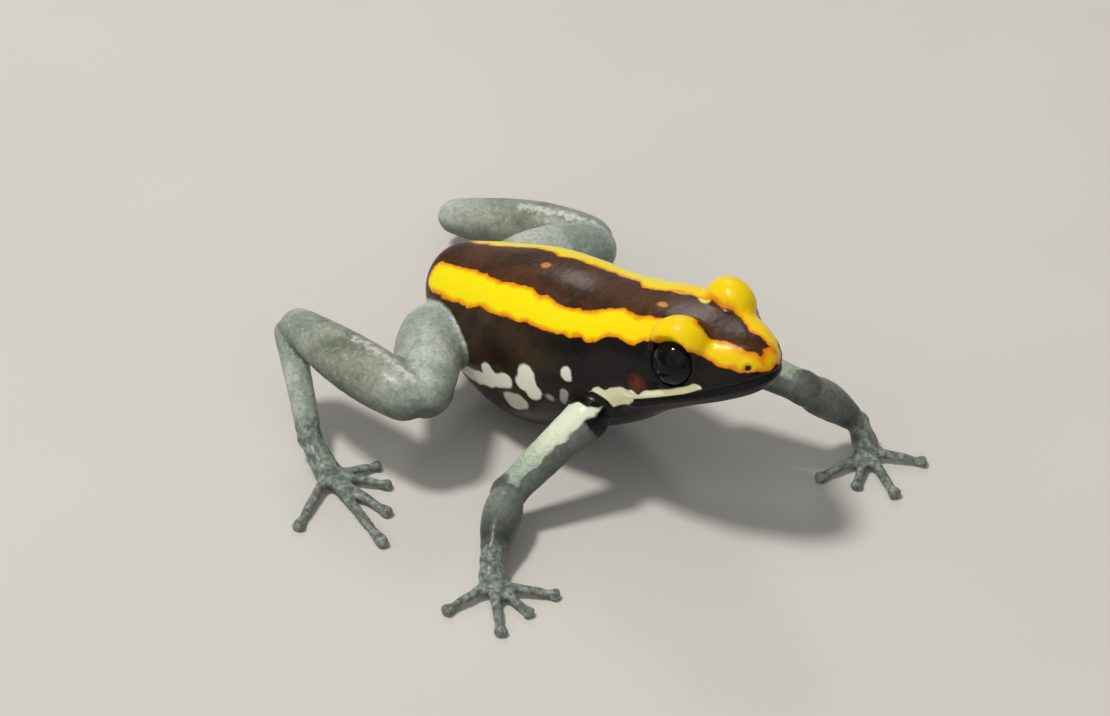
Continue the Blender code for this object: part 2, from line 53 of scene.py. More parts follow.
# Trunk and head along the body axis: station, back height, belly height, level of the widest
# line, half width, and how square the upper and the lower half of the section are
STATIONS = (
    (0.00, 1.85, -0.40, 0.70, 1.05, 2.0, 2.0),
    (0.60, 2.70, -2.20, 0.40, 2.45, 2.1, 2.0),
    (2.20, 2.90, -4.60, -0.20, 3.55, 2.2, 2.1),
    (4.50, 3.15, -6.20, -1.20, 4.40, 2.2, 2.3),
    (7.50, 3.40, -6.90, -1.70, 5.00, 2.2, 2.4),
    (10.5, 3.25, -6.75, -1.80, 4.95, 2.2, 2.4),
    (13.5, 2.85, -6.10, -1.70, 4.60, 2.3, 2.3),
    (16.5, 2.95, -5.05, -1.40, 4.25, 2.4, 2.2),
    (19.0, 3.02, -3.65, -1.00, 4.10, 2.6, 2.2),
    (21.5, 2.75, -2.65, -0.60, 3.55, 2.8, 2.4),
    (23.5, 2.28, -2.10, -0.35, 2.80, 2.8, 2.5),
    (25.1, 1.88, -1.60, -0.05, 1.95, 2.5, 2.4),
    (26.0, 1.45, -1.05, 0.15, 1.10, 2.2, 2.2),
    (26.5, 0.85, -0.20, 0.35, 0.30, 2.0, 2.0),
)
BODY_RINGS = 110
BODY_SIDES = 84

# Eyes, lids, mouth, nostrils and eardrums, in the body frame of the left side
EYE_RADIUS = 1.60
EYE_AT = Vector((21.3, 2.42, 0.82))
EYE_LOOK = Vector((0.20, 0.93, 0.30)).normalized()
CORNEA_RISE = 0.035
CORNEA_SPREAD = 0.62
IRIS_BEGINS = (0.42, 0.50)
IRIS_ENDS = (0.95, 1.1)
LID_SIZE = Vector((1.85, 1.45, 1.60))
LID_AT = Vector((21.6, 2.30, 2.06))
LID_TURN = math.radians(-18)
OPENING = math.radians(62)
OPENING_FROM = 0.55
OPENING_REACH = 3.0
OPENING_NEAR = 1.28
OPENING_FLARE = math.radians(25)
RIM_RADIUS = 0.21
RIM_FROM_MIDDLE = 1.70
MOUTH_FRONT = Vector((26.25, 0.0, -0.25))
MOUTH_CORNER = Vector((18.3, 0.0, -1.75))
MOUTH_BOW = 1.15
NOSTRIL_AT = Vector((25.60, 1.33, 0.60))
DRUM_AT = Vector((18.75, 0.0, -0.42))
DRUM_RADIUS = 0.62
DRUM_RELIEF = 0.07
DRUM_RIM = 0.13
HEAD_SIDE_FROM = 2.5

# Relief of the head: height, middle and width of the folds off the line of the mouth and round
# each nostril; where the mouth's folds fade in; how much shorter a nostril is than it is long
MOUTH_FOLDS = ((-0.20, 0.0, 0.13), (0.08, 0.34, 0.16), (0.07, -0.38, 0.20))
MOUTH_FADES = (17.6, 18.6)
MOUTH_REACH = 0.9
NOSTRIL_FOLDS = ((-0.26, 0.0, 0.20), (0.05, 0.36, 0.12))
NOSTRIL_STRETCH = 0.8

# Limb bones: length, heading and rise in degrees, from the body outwards; radii along each bone;
# how far its middle bows forwards, outwards and up
THIGH = 10.2
SHANK = 12.0
TARSUS = 7.6
HUMERUS = 7.6
FOREARM = 5.2
HIP = Vector((1.6, 2.4, -0.9))
SHOULDER = Vector((15.6, 3.9, -2.7))
LEG_POSE = {
    "right": ((THIGH, -53.7, 5.7), (SHANK, 176.9, 1.5), (TARSUS, -33.1, -37.8)),
    "left": ((THIGH, 85.6, -11.0), (SHANK, -162.0, -4.6), (TARSUS, 49.5, -7.0)),
}
ARM_POSE = {
    "right": ((HUMERUS, -107.9, -33.0), (FOREARM, -59.0, -12.0)),
    "left": ((HUMERUS, 20.5, -11.5), (FOREARM, 64.0, -44.0)),
}
THIGH_RADII = (1.95, 2.22, 2.12, 1.85, 1.50)
SHANK_RADII = (1.40, 1.75, 1.75, 1.45, 1.00)
TARSUS_RADII = (0.98, 0.90, 0.84, 0.80, 0.80)
HUMERUS_RADII = (1.50, 1.30, 1.16, 1.08, 1.00)
FOREARM_RADII = (1.00, 1.18, 1.12, 0.90, 0.70)
THIGH_BOW = Vector((-0.5, 0, 0.15))
THIGH_PAINT_BOW = Vector((-0.25, 0, 0.15))
SHANK_BOW = Vector((0, 0.25, 0.1))
TARSUS_BOW = Vector((0, 0, 0.1))
HUMERUS_BOW = Vector((0, 0, 0.12))
FOREARM_BOW = Vector((0, 0.12, 0.05))
ELBOW_RADIUS = 1.08
WRIST_RADIUS = 0.76
ANKLE_RADIUS = 0.80

# Digits: length from the wrist or ankle, angle off towards the inner side, radius
FINGERS = ((4.5, 62.0, 0.33), (4.5, 30.0, 0.32), (5.7, 4.0, 0.34), (4.6, -40.0, 0.32))
TOES = ((4.4, 52.0, 0.31), (5.8, 33.0, 0.32), (7.6, 14.0, 0.33), (9.9, 1.3, 0.34), (7.2, -32.0, 0.32))
FINGER_PAD = 0.46
TOE_PAD = 0.43
DIGIT_LIFT = 0.25
PALM_LENGTH = 1.7
SOLE_LENGTH = 3.0
HAND_HEADING = {"right": -46.0, "left": -22.0}
FOOT_HEADING = {"right": -20.7, "left": -19.0}
TOE_SPREAD = {"right": 1.0, "left": 0.45}
HAND_WIDTH = 0.88
FOOT_WIDTH = 0.86

# Make of hands and feet: heights of the ball and of the digits' roots, where each digit's joints
# are along it and how high, and how the radii run on as shares of the width
BALL_HEIGHT = 0.62
PALM_SAG = 0.1
PALM_PROFILE = (0.82, 0.95, 1.05)
PALM_FLATTEN = 0.72
ROOT_HEIGHT = 0.55
ROOT_SPREAD = 0.55
WIDEST_ANGLE = 60.0
ROOT_SET_BACK = 0.1
DIGIT_JOINTS = ((0.42, 0.47), (0.78, 0.31))
DIGIT_PROFILE = (1.25, 1.08, 1.0, 0.98, 0.92)
DIGIT_FLATTEN = 0.88
PAD_TIP = 0.95

# Fineness of the pieces before they become one skin: sides and rings
LIMB_MESH = ((32, 40), (28, 40), (24, 30), (24, 30), (24, 30))
PALM_MESH = (20, 20)
DIGIT_MESH = (16, 30)
JOINT_MESH = (28, 18)
LID_MESH = (40, 28)
RIM_MESH = (14, 56)
OPENING_SEGMENTS = 64
EYE_MESH = (72, 48)

# Fineness of the skin: even cells, then finer ones on the head
SKIN_VOXEL = 0.19
HEAD_FROM = 16.8
HEAD_MARGIN_BELOW = 0.6
HEAD_MARGIN_ASIDE = 1.2
SMOOTH_ROUNDS = 5

# Elbows and shoulders: rounds of softening, how far off it ends and is full, and how much is
# filled out again
BEND_ROUNDS = 24
BEND_REACH = 1.7
BEND_FULL = 0.7
BEND_FILL = 0.09

# Grain of the skin: size and height of its coarse and fine part, and its height on the limbs
COARSE_SIZE = 0.55
COARSE_HEIGHT = 0.022
FINE_SIZE = 0.30
FINE_HEIGHT = 0.012
LIMB_HEIGHT = 0.005

# Limb parts that a point of the skin can be nearest to; radii that soles and palms are painted
# with; digits are the points so low and so near to a sole or palm
THIGH_PART, SHANK_PART, TARSUS_PART, UPPER_ARM_PART, FOREARM_PART, SOLE_PART, PALM_PART = range(7)
SOLE_PAINT_RADII = (0.8, 0.8, 0.8)
DIGITS_BELOW = 1.6
DIGITS_WITHIN = 8.5

# Yellow stripes: edges as station and angle up from the widest line, seen from the side
STRIPE_LOWER = (
    (0.5, 27), (1.9, 29), (3.3, 35), (4.4, 39), (5.8, 41), (6.7, 44), (8.5, 43), (10.1, 43),
    (12.0, 41), (14.3, 40), (15.6, 40), (16.5, 44), (17.4, 45), (18.8, 40), (19.5, 45), (20.9, 43),
    (21.9, 42), (22.8, 39), (23.3, 38), (23.8, 33), (24.54, 25), (25.08, 20), (25.62, 14), (26.16, 2),
    (26.52, -16),
)
STRIPE_END = (1.85, 45.0, 0.92)

# Brown of the back and crown: station and half width on the right and on the left of the middle
CROWN_RIGHT = (
    (0.0, 1.7), (0.8, 1.42), (1.4, 1.33), (3.3, 1.45), (5.2, 1.71), (7.2, 2.07), (8.9, 2.05),
    (10.6, 2.18), (12.2, 2.24), (13.4, 2.13), (14.8, 2.07), (15.8, 1.74), (16.7, 1.49), (18.3, 1.80),
    (19.5, 1.55), (20.5, 1.30), (21.5, 1.30), (22.3, 1.42), (22.8, 1.62), (23.3, 1.58), (24.09, 1.19),
    (24.99, 1.08), (25.53, 1.00), (26.16, 0.55),
)
CROWN_LEFT = (
    (0.0, 1.7), (1.4, 1.25), (3.1, 1.10), (5.1, 1.20), (7.7, 1.50), (9.2, 1.36), (12.1, 1.60),
    (13.6, 1.62), (15.1, 1.45), (16.4, 0.68), (17.7, 0.68), (18.7, 0.89), (20.3, 1.13), (21.2, 1.06),
    (22.1, 0.93), (23.5, 1.05), (24.09, 0.58), (24.81, 0.30), (25.53, 0.40), (26.07, 0.25),
)
CROWN_END = 26.15

# Cream line along the upper lip: station, height of its middle, half width
LIP_LINE = (
    (14.95, -1.92, 0.05), (15.3, -2.02, 0.47), (15.7, -1.97, 0.73), (16.1, -2.00, 0.79),
    (16.5, -1.98, 0.60), (16.9, -1.74, 0.66), (17.7, -1.45, 0.65), (18.6, -1.35, 0.45),
    (19.07, -1.36, 0.28), (19.6, -1.14, 0.38), (20.6, -0.96, 0.36), (21.5, -0.68, 0.35),
    (22.5, -0.35, 0.26), (22.8, -0.26, 0.23), (23.15, -0.32, 0.05),
)

# Spots on the flank: station and height of both ends, half width, brightness
FLANK_SPOTS = (
    (3.9, -2.35, 5.8, -2.55, 0.55, 0.85), (5.8, -2.55, 8.9, -1.95, 0.50, 1.0),
    (7.4, -1.55, 7.9, -2.0, 0.52, 1.0), (10.7, -1.15, 10.9, -2.3, 0.62, 1.0),
    (10.3, -1.8, 10.4, -1.9, 0.55, 1.0), (8.9, -3.45, 9.5, -3.4, 0.62, 0.62),
    (13.75, -0.60, 13.78, -0.80, 0.38, 0.9), (12.15, -2.58, 12.25, -2.58, 0.24, 0.35),
    (13.4, -1.95, 13.05, -2.6, 0.27, 0.42), (4.6, -4.1, 4.8, -4.0, 0.3, 0.25),
)

# Spots on the back: station, offset to the right, half length, half width, share of yellow
BACK_SPOTS = (
    (9.26, 0.0, 0.40, 0.34, 0.0), (19.0, 0.55, 0.48, 0.26, 0.1), (18.9, -1.00, 0.75, 0.22, 0.6),
    (20.9, -1.05, 0.50, 0.34, 1.0),
)

# Cream bar on the upper arm and painted highlight along the shank's upper side: from and to as
# shares of the bone, middle and half width in degrees round it, on a tube of a radius; how much the
# bar's ends slant
ARM_BAR = (0.10, 0.96, -4.0, 47.0)
ARM_BAR_RADIUS = 1.2
ARM_BAR_SLANT = 0.0018
SHANK_HIGHLIGHT = (0.02, 0.52, -2.0, 9.0)
SHANK_HIGHLIGHT_RADIUS = 1.6

# How far the black of the shoulder reaches down the arm; red patch by the eardrum as station,
# height and radius; from where to where, in the world, the flank darkens from the rear's browner
# blotches with their painted faint sheen, and the yellow deepens
ARM_DARK_TO = 0.17
DRUM_PATCH = (19.05, -0.38, 0.62)
FLANK_DARKENS = (-1.5, 4.5)
HEAD_DEEPENS = (3.0, 11.0)
STRIPE_EDGE_FADES = (0.02, 0.42)

# Where marks may lie: least height of the crown and of the back's spots, least distance of the
# lip's line and of the flank's spots from the middle, first station without limbs; how wide the
# painted shade in the mouth's groove and in the nostrils is
CROWN_ABOVE = 0.5
CROWN_TIP_SLOPE = 1.2
BACK_ABOVE = 1.0
LIP_SIDE_FROM = 1.5
FLANK_FROM = 2.0
THROAT_FROM = 17.5
MOUTH_SHADE = 0.13
NOSTRIL_SHADE = 0.20
MARK_LIMIT = 3.0

# Where the limbs darken: degrees off the upper side over which painted shade fills the undersides,
# how far round and how much later the arms do, shade of the upper arm, then painted shade of the
# forearm at the elbow and how it grows; painted shade in the elbow's crease, olive of the shank and
# the digits' colour along the bones; degrees below the widest line that the belly fills
UNDERSIDE_SHADE_FADES = (50, 135)
ARM_SHADE_TURN = 60
ARM_SHADE_DELAY = 25
UPPER_ARM_SHADE = 0.7
FOREARM_SHADE = (0.5, 0.7)
UPPER_ARM_CREASE_SHADE = (1.0, 0.05)
FOREARM_CREASE_SHADE = (0.0, 0.10)
SHANK_OLIVE = (0.45, 0.42)
TARSUS_DIGITS = (0.70, 1.0)
FOREARM_DIGITS = (0.76, 1.05)
BELLY_FROM = 25
BELLY_FADE = 60

# Colours as they look on screen, from 0 to 255
PALETTE = {
    "back_dark": (54, 32, 16), "back_light": (82, 50, 24), "back_fleck": (98, 63, 34),
    # The flanks' lighter blotch colours are partly their own brown and partly a painted faint sheen
    "rear_flank_dark": (36, 26, 17), "rear_flank_brown_and_sheen": (70, 51, 33),
    "front_flank_dark": (11, 8, 7), "front_flank_brown_and_sheen": (26, 18, 14),
    "belly": (12, 12, 14), "belly_marbling": (48, 84, 92),
    "limb_grey": (152, 164, 154), "limb_pale": (196, 204, 192),
    "shank_olive": (108, 116, 99), "shank_pale": (148, 155, 137),
    # limb_shade is painted shade on the limbs' undersides, in the elbow's crease and down the forearm;
    # it also darkens the upper arm
    "limb_freckle": (78, 88, 84), "limb_fleck": (210, 220, 214), "limb_shade": (50, 56, 50),
    # shank_highlight is a painted highlight: the wet glint along the shank's upper side
    "digit_dark": (92, 100, 94), "digit_light": (156, 165, 156), "shank_highlight": (226, 224, 222),
    "bar_cream": (232, 238, 212), "bar_grey": (166, 182, 164), "bar_mottle": (112, 124, 110),
    "drum_red": (104, 42, 24), "flank_spot": (255, 255, 240), "lip": (255, 252, 208),
    "dot_orange": (214, 130, 52), "dot_yellow": (248, 222, 96), "stripe_edge": (238, 140, 0),
    # pit_shade is painted shade, near black, in the mouth's groove and the nostrils
    "stripe_yellow": (255, 233, 0), "stripe_snout": (255, 215, 0), "pit_shade": (6, 4, 4),
    "iris": (12, 10, 9), "iris_fleck": (46, 42, 30), "pupil": (4, 4, 6), "eye_edge": (5, 4, 4),
    "floor_dark": (208, 205, 198), "floor_light": (216, 213, 206),
}

# Noises of the paint: size of their features in millimetres, detail, roughness and any warp
NOISES = {
    "ragged": (0.9, 2, 0.5), "fine": (0.35, 4, 0.65), "blotch": (2.4, 3, 0.55),
    "marble": (1.6, 2, 0.5, 1.2), "clouds": (2.6, 3, 0.6), "freckle": (0.24, 3, 0.6),
    "fleck": (0.30, 2, 0.6), "iris": (0.22, 4, 0.7), "floor": (30, 2, 0.55),
}
PEBBLE_SIZE = 0.42
PEBBLE_DEPTH = 0.022

# Edges of the marks: how ragged they are, and from where to where the paint fades in
MARK_EDGES = {
    "crown": (0.0, -0.25, 0.10), "belly": (0.0, 0.45, 0.80), "limb": (0.4, -0.10, 0.25),
    "bar": (1.2, -0.10, 0.14), "drum": (0.0, -0.25, 0.30), "spot": (0.5, -0.10, 0.10),
    "lip": (0.3, -0.06, 0.08), "dot": (0.25, -0.06, 0.12), "stripe": (0.7, -0.05, 0.06),
    "pit_shade": (0.0, -0.05, 0.06),
}

# Sheen of the skin and of the eye
SKIN_SHADER = {
    "IOR": 1.34, "Specular IOR Level": 0.38, "Coat Weight": 0.08, "Coat Roughness": 0.14,
    "Subsurface Weight": 0.06, "Subsurface Radius": (1.0, 0.5, 0.25), "Subsurface Scale": 0.0004,
}
EYE_SHADER = {"Roughness": 0.04, "IOR": 1.30}
BODY_ROUGHNESS = (0.20, 0.42)
LIMB_ROUGHNESS = (0.26, 0.50)

# Lights: azimuth and elevation they come from, distance, size of the disc, power and colour
LIGHTS = {
    "key": (-48, 70, 0.45, 0.08, 1.20, (1.0, 0.97, 0.92)),
    "fill": (20, 42, 1.0, 1.80, 3.20, (1.0, 0.99, 0.97)),
    "back": (228, 38, 0.6, 0.14, 0.36, (1.0, 0.97, 0.94)),
}
WORLD_COLOUR = (0.98, 0.98, 1.0, 1)
WORLD_STRENGTH = 0.24
FLOOR_HALF = 3.0

# Camera: angles round a point, distance and lens, and how far it aims to the right of that point
# and above it
CAMERA_AZIMUTH = 42.5
CAMERA_ELEVATION = 35.5
CAMERA_DISTANCE = 284.4
CAMERA_LENS = 150.0
AIM = Vector((-9.05, 2.68, 4.17))
AIM_RIGHT = 5.20
AIM_UP = -3.25

# Each point's place on the trunk and on the nearest limb part
Fields = namedtuple("Fields", "body outside angle radius limb parts shares rounds")


def view_axes(azimuth, elevation):
    a, e = math.radians(azimuth), math.radians(elevation)
    back = Vector((math.sin(a) * math.cos(e), -math.cos(a) * math.cos(e), math.sin(e)))
    right = Vector((math.cos(a), math.sin(a), 0))
    return right, back.cross(right), back


def make_camera():
    right, up, back = view_axes(CAMERA_AZIMUTH, CAMERA_ELEVATION)
    place = AIM + back * CAMERA_DISTANCE
    look = (place - AIM - right * AIM_RIGHT - up * AIM_UP).normalized()
    camera = bpy.data.objects.new("camera", bpy.data.cameras.new("camera"))
    bpy.context.scene.collection.objects.link(camera)
    camera.data.lens = CAMERA_LENS
    camera.data.sensor_width = 36.0
    camera.data.clip_start = 0.01
    camera.data.clip_end = 20.0
    turn = back.rotation_difference(look).to_matrix() @ Matrix((right, up, back)).transposed()
    camera.matrix_world = Matrix.Translation(place * MM) @ turn.to_4x4()
    bpy.context.scene.camera = camera


def curve_value(keys, column, at):
    """Value of one column of a table of stations, on a smooth curve through them."""
    last = len(keys) - 1
    i = 0
    while i < last - 1 and keys[i + 1][0] < at:
        i += 1
    x0, x1 = keys[i][0], keys[i + 1][0]
    t = min(1.0, max(0.0, (at - x0) / (x1 - x0)))
    y0, y1 = keys[i][column], keys[i + 1][column]
    before, after = keys[max(i - 1, 0)], keys[min(i + 2, last)]
    slope0 = (y1 - before[column]) / (x1 - before[0]) * (x1 - x0)
    slope1 = (after[column] - y0) / (after[0] - x0) * (x1 - x0)
    square, cube = t * t, t * t * t
    return ((2 * cube - 3 * square + 1) * y0 + (cube - 2 * square + t) * slope0
            + (3 * square - 2 * cube) * y1 + (cube - square) * slope1)


def body_section(x, angle):
    """Point of the body's surface in its own frame, at a station and an angle round it."""
    top, bottom, level, half, square_up, square_down = (
        curve_value(STATIONS, column, x) for column in range(1, 7))
    power = square_up if math.sin(angle) > 0 else square_down
    height = (top - level) if math.sin(angle) > 0 else (level - bottom)
    c, s = math.cos(angle), math.sin(angle)
    y = half * math.copysign(abs(c) ** (2 / power), c)
    z = level + height * math.copysign(abs(s) ** (2 / power), s)
    return Vector((x, y, z))


def to_world(point):
    return BODY_TURN @ point + RUMP_AT


def mirrored(point, side):
    return Vector((point.x, point.y if side == "left" else -point.y, point.z))


def along(start, length, heading, rise):
    h, r = math.radians(heading), math.radians(rise)
    return start + length * Vector((math.cos(h) * math.cos(r), math.sin(h) * math.cos(r), math.sin(r)))


def chain(start, bones):
    joints = [start]
    for length, heading, rise in bones:
        joints.append(along(joints[-1], length, heading, rise))
    return joints


def mesh_object(name, bm):
    bmesh.ops.recalc_face_normals(bm, faces=bm.faces)
    if bm.calc_volume(signed=True) < 0:
        bmesh.ops.reverse_faces(bm, faces=bm.faces)
    mesh = bpy.data.meshes.new(name)
    bm.to_mesh(mesh)
    bm.free()
    item = bpy.data.objects.new(name, mesh)
    bpy.context.scene.collection.objects.link(item)
    return item


def circle(count):
    """Even angles once round."""
    return [2 * math.pi * k / count for k in range(count)]


def sphere(mesh, radius=1.0):
    bm = bmesh.new()
    bmesh.ops.create_uvsphere(bm, u_segments=mesh[0], v_segments=mesh[1], radius=radius)
    return bm


def loft(name, rings, ring_closed=False):
    """Closed skin through rings of points, with fans at the ends unless it closes on itself."""
    bm = bmesh.new()
    loops = [[bm.verts.new(p) for p in ring] for ring in rings]
    count = len(loops[0])
    pairs = list(zip(loops, loops[1:])) + ([(loops[-1], loops[0])] if ring_closed else [])
    for a, b in pairs:
        for i in range(count):
            j = (i + 1) % count
            bm.faces.new((a[i], a[j], b[j], b[i]))
    for ring in () if ring_closed else (loops[0], loops[-1]):
        centre = bm.verts.new(sum((v.co for v in ring), Vector()) / count)
        for i in range(count):
            bm.faces.new((ring[i], ring[(i + 1) % count], centre))
    return mesh_object(name, bm)


def tube(name, points, radii, sides, rings, flatten=1.0):
    """Round-ended tube on a smooth curve through points, with radii eased along it."""
    keys = [(i / (len(points) - 1), p.x, p.y, p.z) for i, p in enumerate(points)]
    sizes = [(i / (len(radii) - 1), r) for i, r in enumerate(radii)]

    def spot(t):
        return Vector([curve_value(keys, k, t) for k in (1, 2, 3)])

    length = sum((b - a).length for a, b in zip(points, points[1:]))
    loops = []
    for n in range(rings):
        # rings close up towards the rounded ends
        u = 0.5 - 0.5 * math.cos(math.pi * (n + 0.35) / (rings - 0.3))
        centre = spot(u)
        ahead = (spot(min(1.0, u + 0.02)) - spot(max(0.0, u - 0.02))).normalized()
        side = ahead.cross(Vector((0, 0, 1)))
        side = side.normalized() if side.length > 0.05 else ahead.orthogonal().normalized()
        over = side.cross(ahead)
        radius = curve_value(sizes, 1, u)
        end = min(u, 1 - u) * length
        if end < radius:
            radius *= math.sqrt(max(0.02, 1 - (1 - end / radius) ** 2))
        loops.append([centre + radius * (math.cos(a) * side + flatten * math.sin(a) * over)
                      for a in circle(sides)])
    return loft(name, loops)


def bent(points, bow):
    """A straight bone's two joints with a middle point pushed aside."""
    return [points[0], (points[0] + points[1]) / 2 + bow, points[1]]


def frame_of(direction):
    return direction.to_track_quat("Z", "Y").to_matrix()


def hand_or_foot(name, start, heading, side, palm, digits, pad, width, spread=1.0):
    """Palm or sole with its spread digits, lying on the floor."""
    inner = -1 if side == "left" else 1
    below = Vector((start.x, start.y, 0))
    ball = along(below, palm, heading, 0)
    ball.z = BALL_HEIGHT
    middle = (start + ball) / 2 + Vector((0, 0, -PALM_SAG))
    pieces = [tube(name + "_palm", [start, middle, ball], [width * share for share in PALM_PROFILE],
                   *PALM_MESH, PALM_FLATTEN)]
    across = math.radians(heading + inner * 90)
    for number, (length, angle, radius) in enumerate(digits):
        tip = along(below, length, heading + inner * angle * spread, 0)
        tip.z = DIGIT_LIFT
        offset = (angle / WIDEST_ANGLE) * width * ROOT_SPREAD
        root = (ball + offset * Vector((math.cos(across), math.sin(across), 0))
                - ROOT_SET_BACK * (ball - start))
        root.z = ROOT_HEIGHT
        spots = [root]
        for share, height in DIGIT_JOINTS:
            spots.append(root.lerp(tip, share))
            spots[-1].z = height
        radii = [radius * share for share in DIGIT_PROFILE] + [pad, pad * PAD_TIP]
        pieces.append(tube("%s_digit_%d" % (name, number + 1), spots + [tip], radii,
                           *DIGIT_MESH, DIGIT_FLATTEN))
    return pieces


def lid_domes():
    pieces = []
    for side in SIDES:
        bm = sphere(LID_MESH)
        turn = Matrix.Rotation(LID_TURN if side == "left" else -LID_TURN, 3, "Z")
        for vertex in bm.verts:
            vertex.co = to_world(mirrored(LID_AT, side) + turn @ Vector(vertex.co * LID_SIZE))
        pieces.append(mesh_object("lid_" + side, bm))
    return pieces


def lid_openings():
    """Cut-off cones from inside each ball, which open the lids over what the eye shows."""
    depth = OPENING_REACH - OPENING_FROM
    pieces = []
    for side in SIDES:
        bm = bmesh.new()
        bmesh.ops.create_cone(bm, cap_ends=True, segments=OPENING_SEGMENTS, radius1=OPENING_NEAR,
                              radius2=OPENING_NEAR + depth * math.tan(OPENING_FLARE), depth=depth)
        turn = frame_of(mirrored(EYE_LOOK, side))
        for vertex in bm.verts:
            along_look = turn @ (vertex.co + Vector((0, 0, OPENING_FROM + depth / 2)))
            vertex.co = to_world(mirrored(EYE_AT, side) + along_look)
        pieces.append(mesh_object("opening_" + side, bm))
    return pieces


def lid_rims():
    """Soft edges of the lids, close round the ball."""
    pieces = []
    for side in SIDES:
        axis = mirrored(EYE_LOOK, side)
        turn = frame_of(axis)
        centre = mirrored(EYE_AT, side) + axis * RIM_FROM_MIDDLE * math.cos(OPENING)
        ring = RIM_FROM_MIDDLE * math.sin(OPENING)
        sides, count = RIM_MESH
        rings = []
        for around in circle(count):
            out = turn @ Vector((math.cos(around), math.sin(around), 0))
            rings.append([to_world(centre + out * (ring + RIM_RADIUS * math.cos(a))
                                   + axis * RIM_RADIUS * math.sin(a)) for a in circle(sides)])
        pieces.append(loft("rim_" + side, rings, ring_closed=True))
    return pieces


def limb_joints():
    joints = {}
    for side in SIDES:
        joints["leg_" + side] = chain(to_world(mirrored(HIP, side)), LEG_POSE[side])
        joints["arm_" + side] = chain(to_world(mirrored(SHOULDER, side)), ARM_POSE[side])
    return joints


def limb_parts(joints, side):
    """Ends, bow and radii of one side's limb parts, in the order of their numbers."""
    hip, knee, heel, ankle = joints["leg_" + side]
    shoulder, elbow, wrist = joints["arm_" + side]
    return [
        (hip, knee, THIGH_BOW, THIGH_RADII),
        (knee, heel, mirrored(SHANK_BOW, side), SHANK_RADII),
        (heel, ankle, TARSUS_BOW, TARSUS_RADII),
        (shoulder, elbow, HUMERUS_BOW, HUMERUS_RADII),
        (elbow, wrist, mirrored(FOREARM_BOW, side), FOREARM_RADII),
    ]


def limb_pieces(joints):
    pieces = []
    for side in SIDES:
        for (a, b, bow, radii), (sides, rings) in zip(limb_parts(joints, side), LIMB_MESH):
            pieces.append(tube("limb", bent((a, b), bow), radii, sides, rings))
        ankle = joints["leg_" + side][-1]
        elbow, wrist = joints["arm_" + side][1:]
        for joint, radius in ((elbow, ELBOW_RADIUS), (wrist, WRIST_RADIUS), (ankle, ANKLE_RADIUS)):
            bm = sphere(JOINT_MESH, radius)
            bmesh.ops.translate(bm, verts=bm.verts, vec=joint)
            pieces.append(mesh_object("joint", bm))
        pieces += hand_or_foot("foot", ankle, FOOT_HEADING[side], side, SOLE_LENGTH, TOES, TOE_PAD,
                               FOOT_WIDTH, TOE_SPREAD[side])
        pieces += hand_or_foot("hand", wrist, HAND_HEADING[side], side, PALM_LENGTH, FINGERS,
                               FINGER_PAD, HAND_WIDTH)
    return pieces


def apply_modifiers(item):
    graph = bpy.context.evaluated_depsgraph_get()
    mesh = bpy.data.meshes.new_from_object(item.evaluated_get(graph))
    item.modifiers.clear()
    item.data = mesh


def boolean(base, pieces, operation):
    group = bpy.data.collections.new("pieces")
    for piece in pieces:
        group.objects.link(piece)
    change = base.modifiers.new("Change", "BOOLEAN")
    change.operation = operation
    change.operand_type = "COLLECTION"
    change.collection = group
    change.solver = "EXACT"
    apply_modifiers(base)
    for piece in pieces:
        bpy.data.objects.remove(piece)
    bpy.data.collections.remove(group)


def smooth(item, rounds, group=""):
    change = item.modifiers.new("Smooth", "SMOOTH")
    change.factor = 0.5
    change.iterations = rounds
    change.vertex_group = group
    apply_modifiers(item)


def raw_skin(joints):
    """All of the flesh as one even, softened mesh in millimetres."""
    angles = circle(BODY_SIDES)
    rings = []
    for n in range(BODY_RINGS):
        x = SNOUT_VENT * (0.5 - 0.5 * math.cos(math.pi * n / (BODY_RINGS - 1)))
        rings.append([to_world(body_section(x, a)) for a in angles])
    skin = loft("skin", rings)
    boolean(skin, lid_domes() + limb_pieces(joints), "UNION")
    boolean(skin, lid_openings(), "DIFFERENCE")
    boolean(skin, lid_rims(), "UNION")
    remesh = skin.modifiers.new("Even", "REMESH")
    remesh.mode = "VOXEL"
    remesh.voxel_size = SKIN_VOXEL
    apply_modifiers(skin)
    refine_head(skin)
    smooth(skin, SMOOTH_ROUNDS)
    soften_bends(skin, joints)
    return skin


def bend_weights(points, joints):
    """How near points are to an elbow or a shoulder, from 0 to 1."""
    weights = np.zeros(len(points))
    for side in SIDES:
        for joint in joints["arm_" + side][:2]:
            distance = np.linalg.norm(points - np.array(joint), axis=1)
            weights = np.maximum(weights, smooth_step(distance, BEND_REACH, BEND_FULL))
    return weights


def soften_bends(skin, joints):
    """Lets the arms' parts run into each other without a ring."""
    weights = bend_weights(read_points(skin.data), joints)
    group = skin.vertex_groups.new(name="bends")
    for index in np.flatnonzero(weights > 0.01):
        group.add([int(index)], float(weights[index]), "REPLACE")
    smooth(skin, BEND_ROUNDS, group.name)
    skin.vertex_groups.clear()


def read_points(mesh, what="co"):
    values = np.empty(len(mesh.vertices) * 3, dtype=np.float32)
    mesh.vertices.foreach_get(what, values)
    return values.reshape(-1, 3).astype(float)


def write_points(mesh, points):
    mesh.vertices.foreach_set("co", points.astype(np.float32).ravel())
    mesh.update()


def body_coordinates(points):
    """World points in the body frame."""
    turn = np.array(BODY_TURN)
    return (points - np.array(RUMP_AT)) @ turn


def store(mesh, name, values):
    layer = mesh.attributes.new(name, "FLOAT", "POINT")
    layer.data.foreach_set("value", values.astype(np.float32))


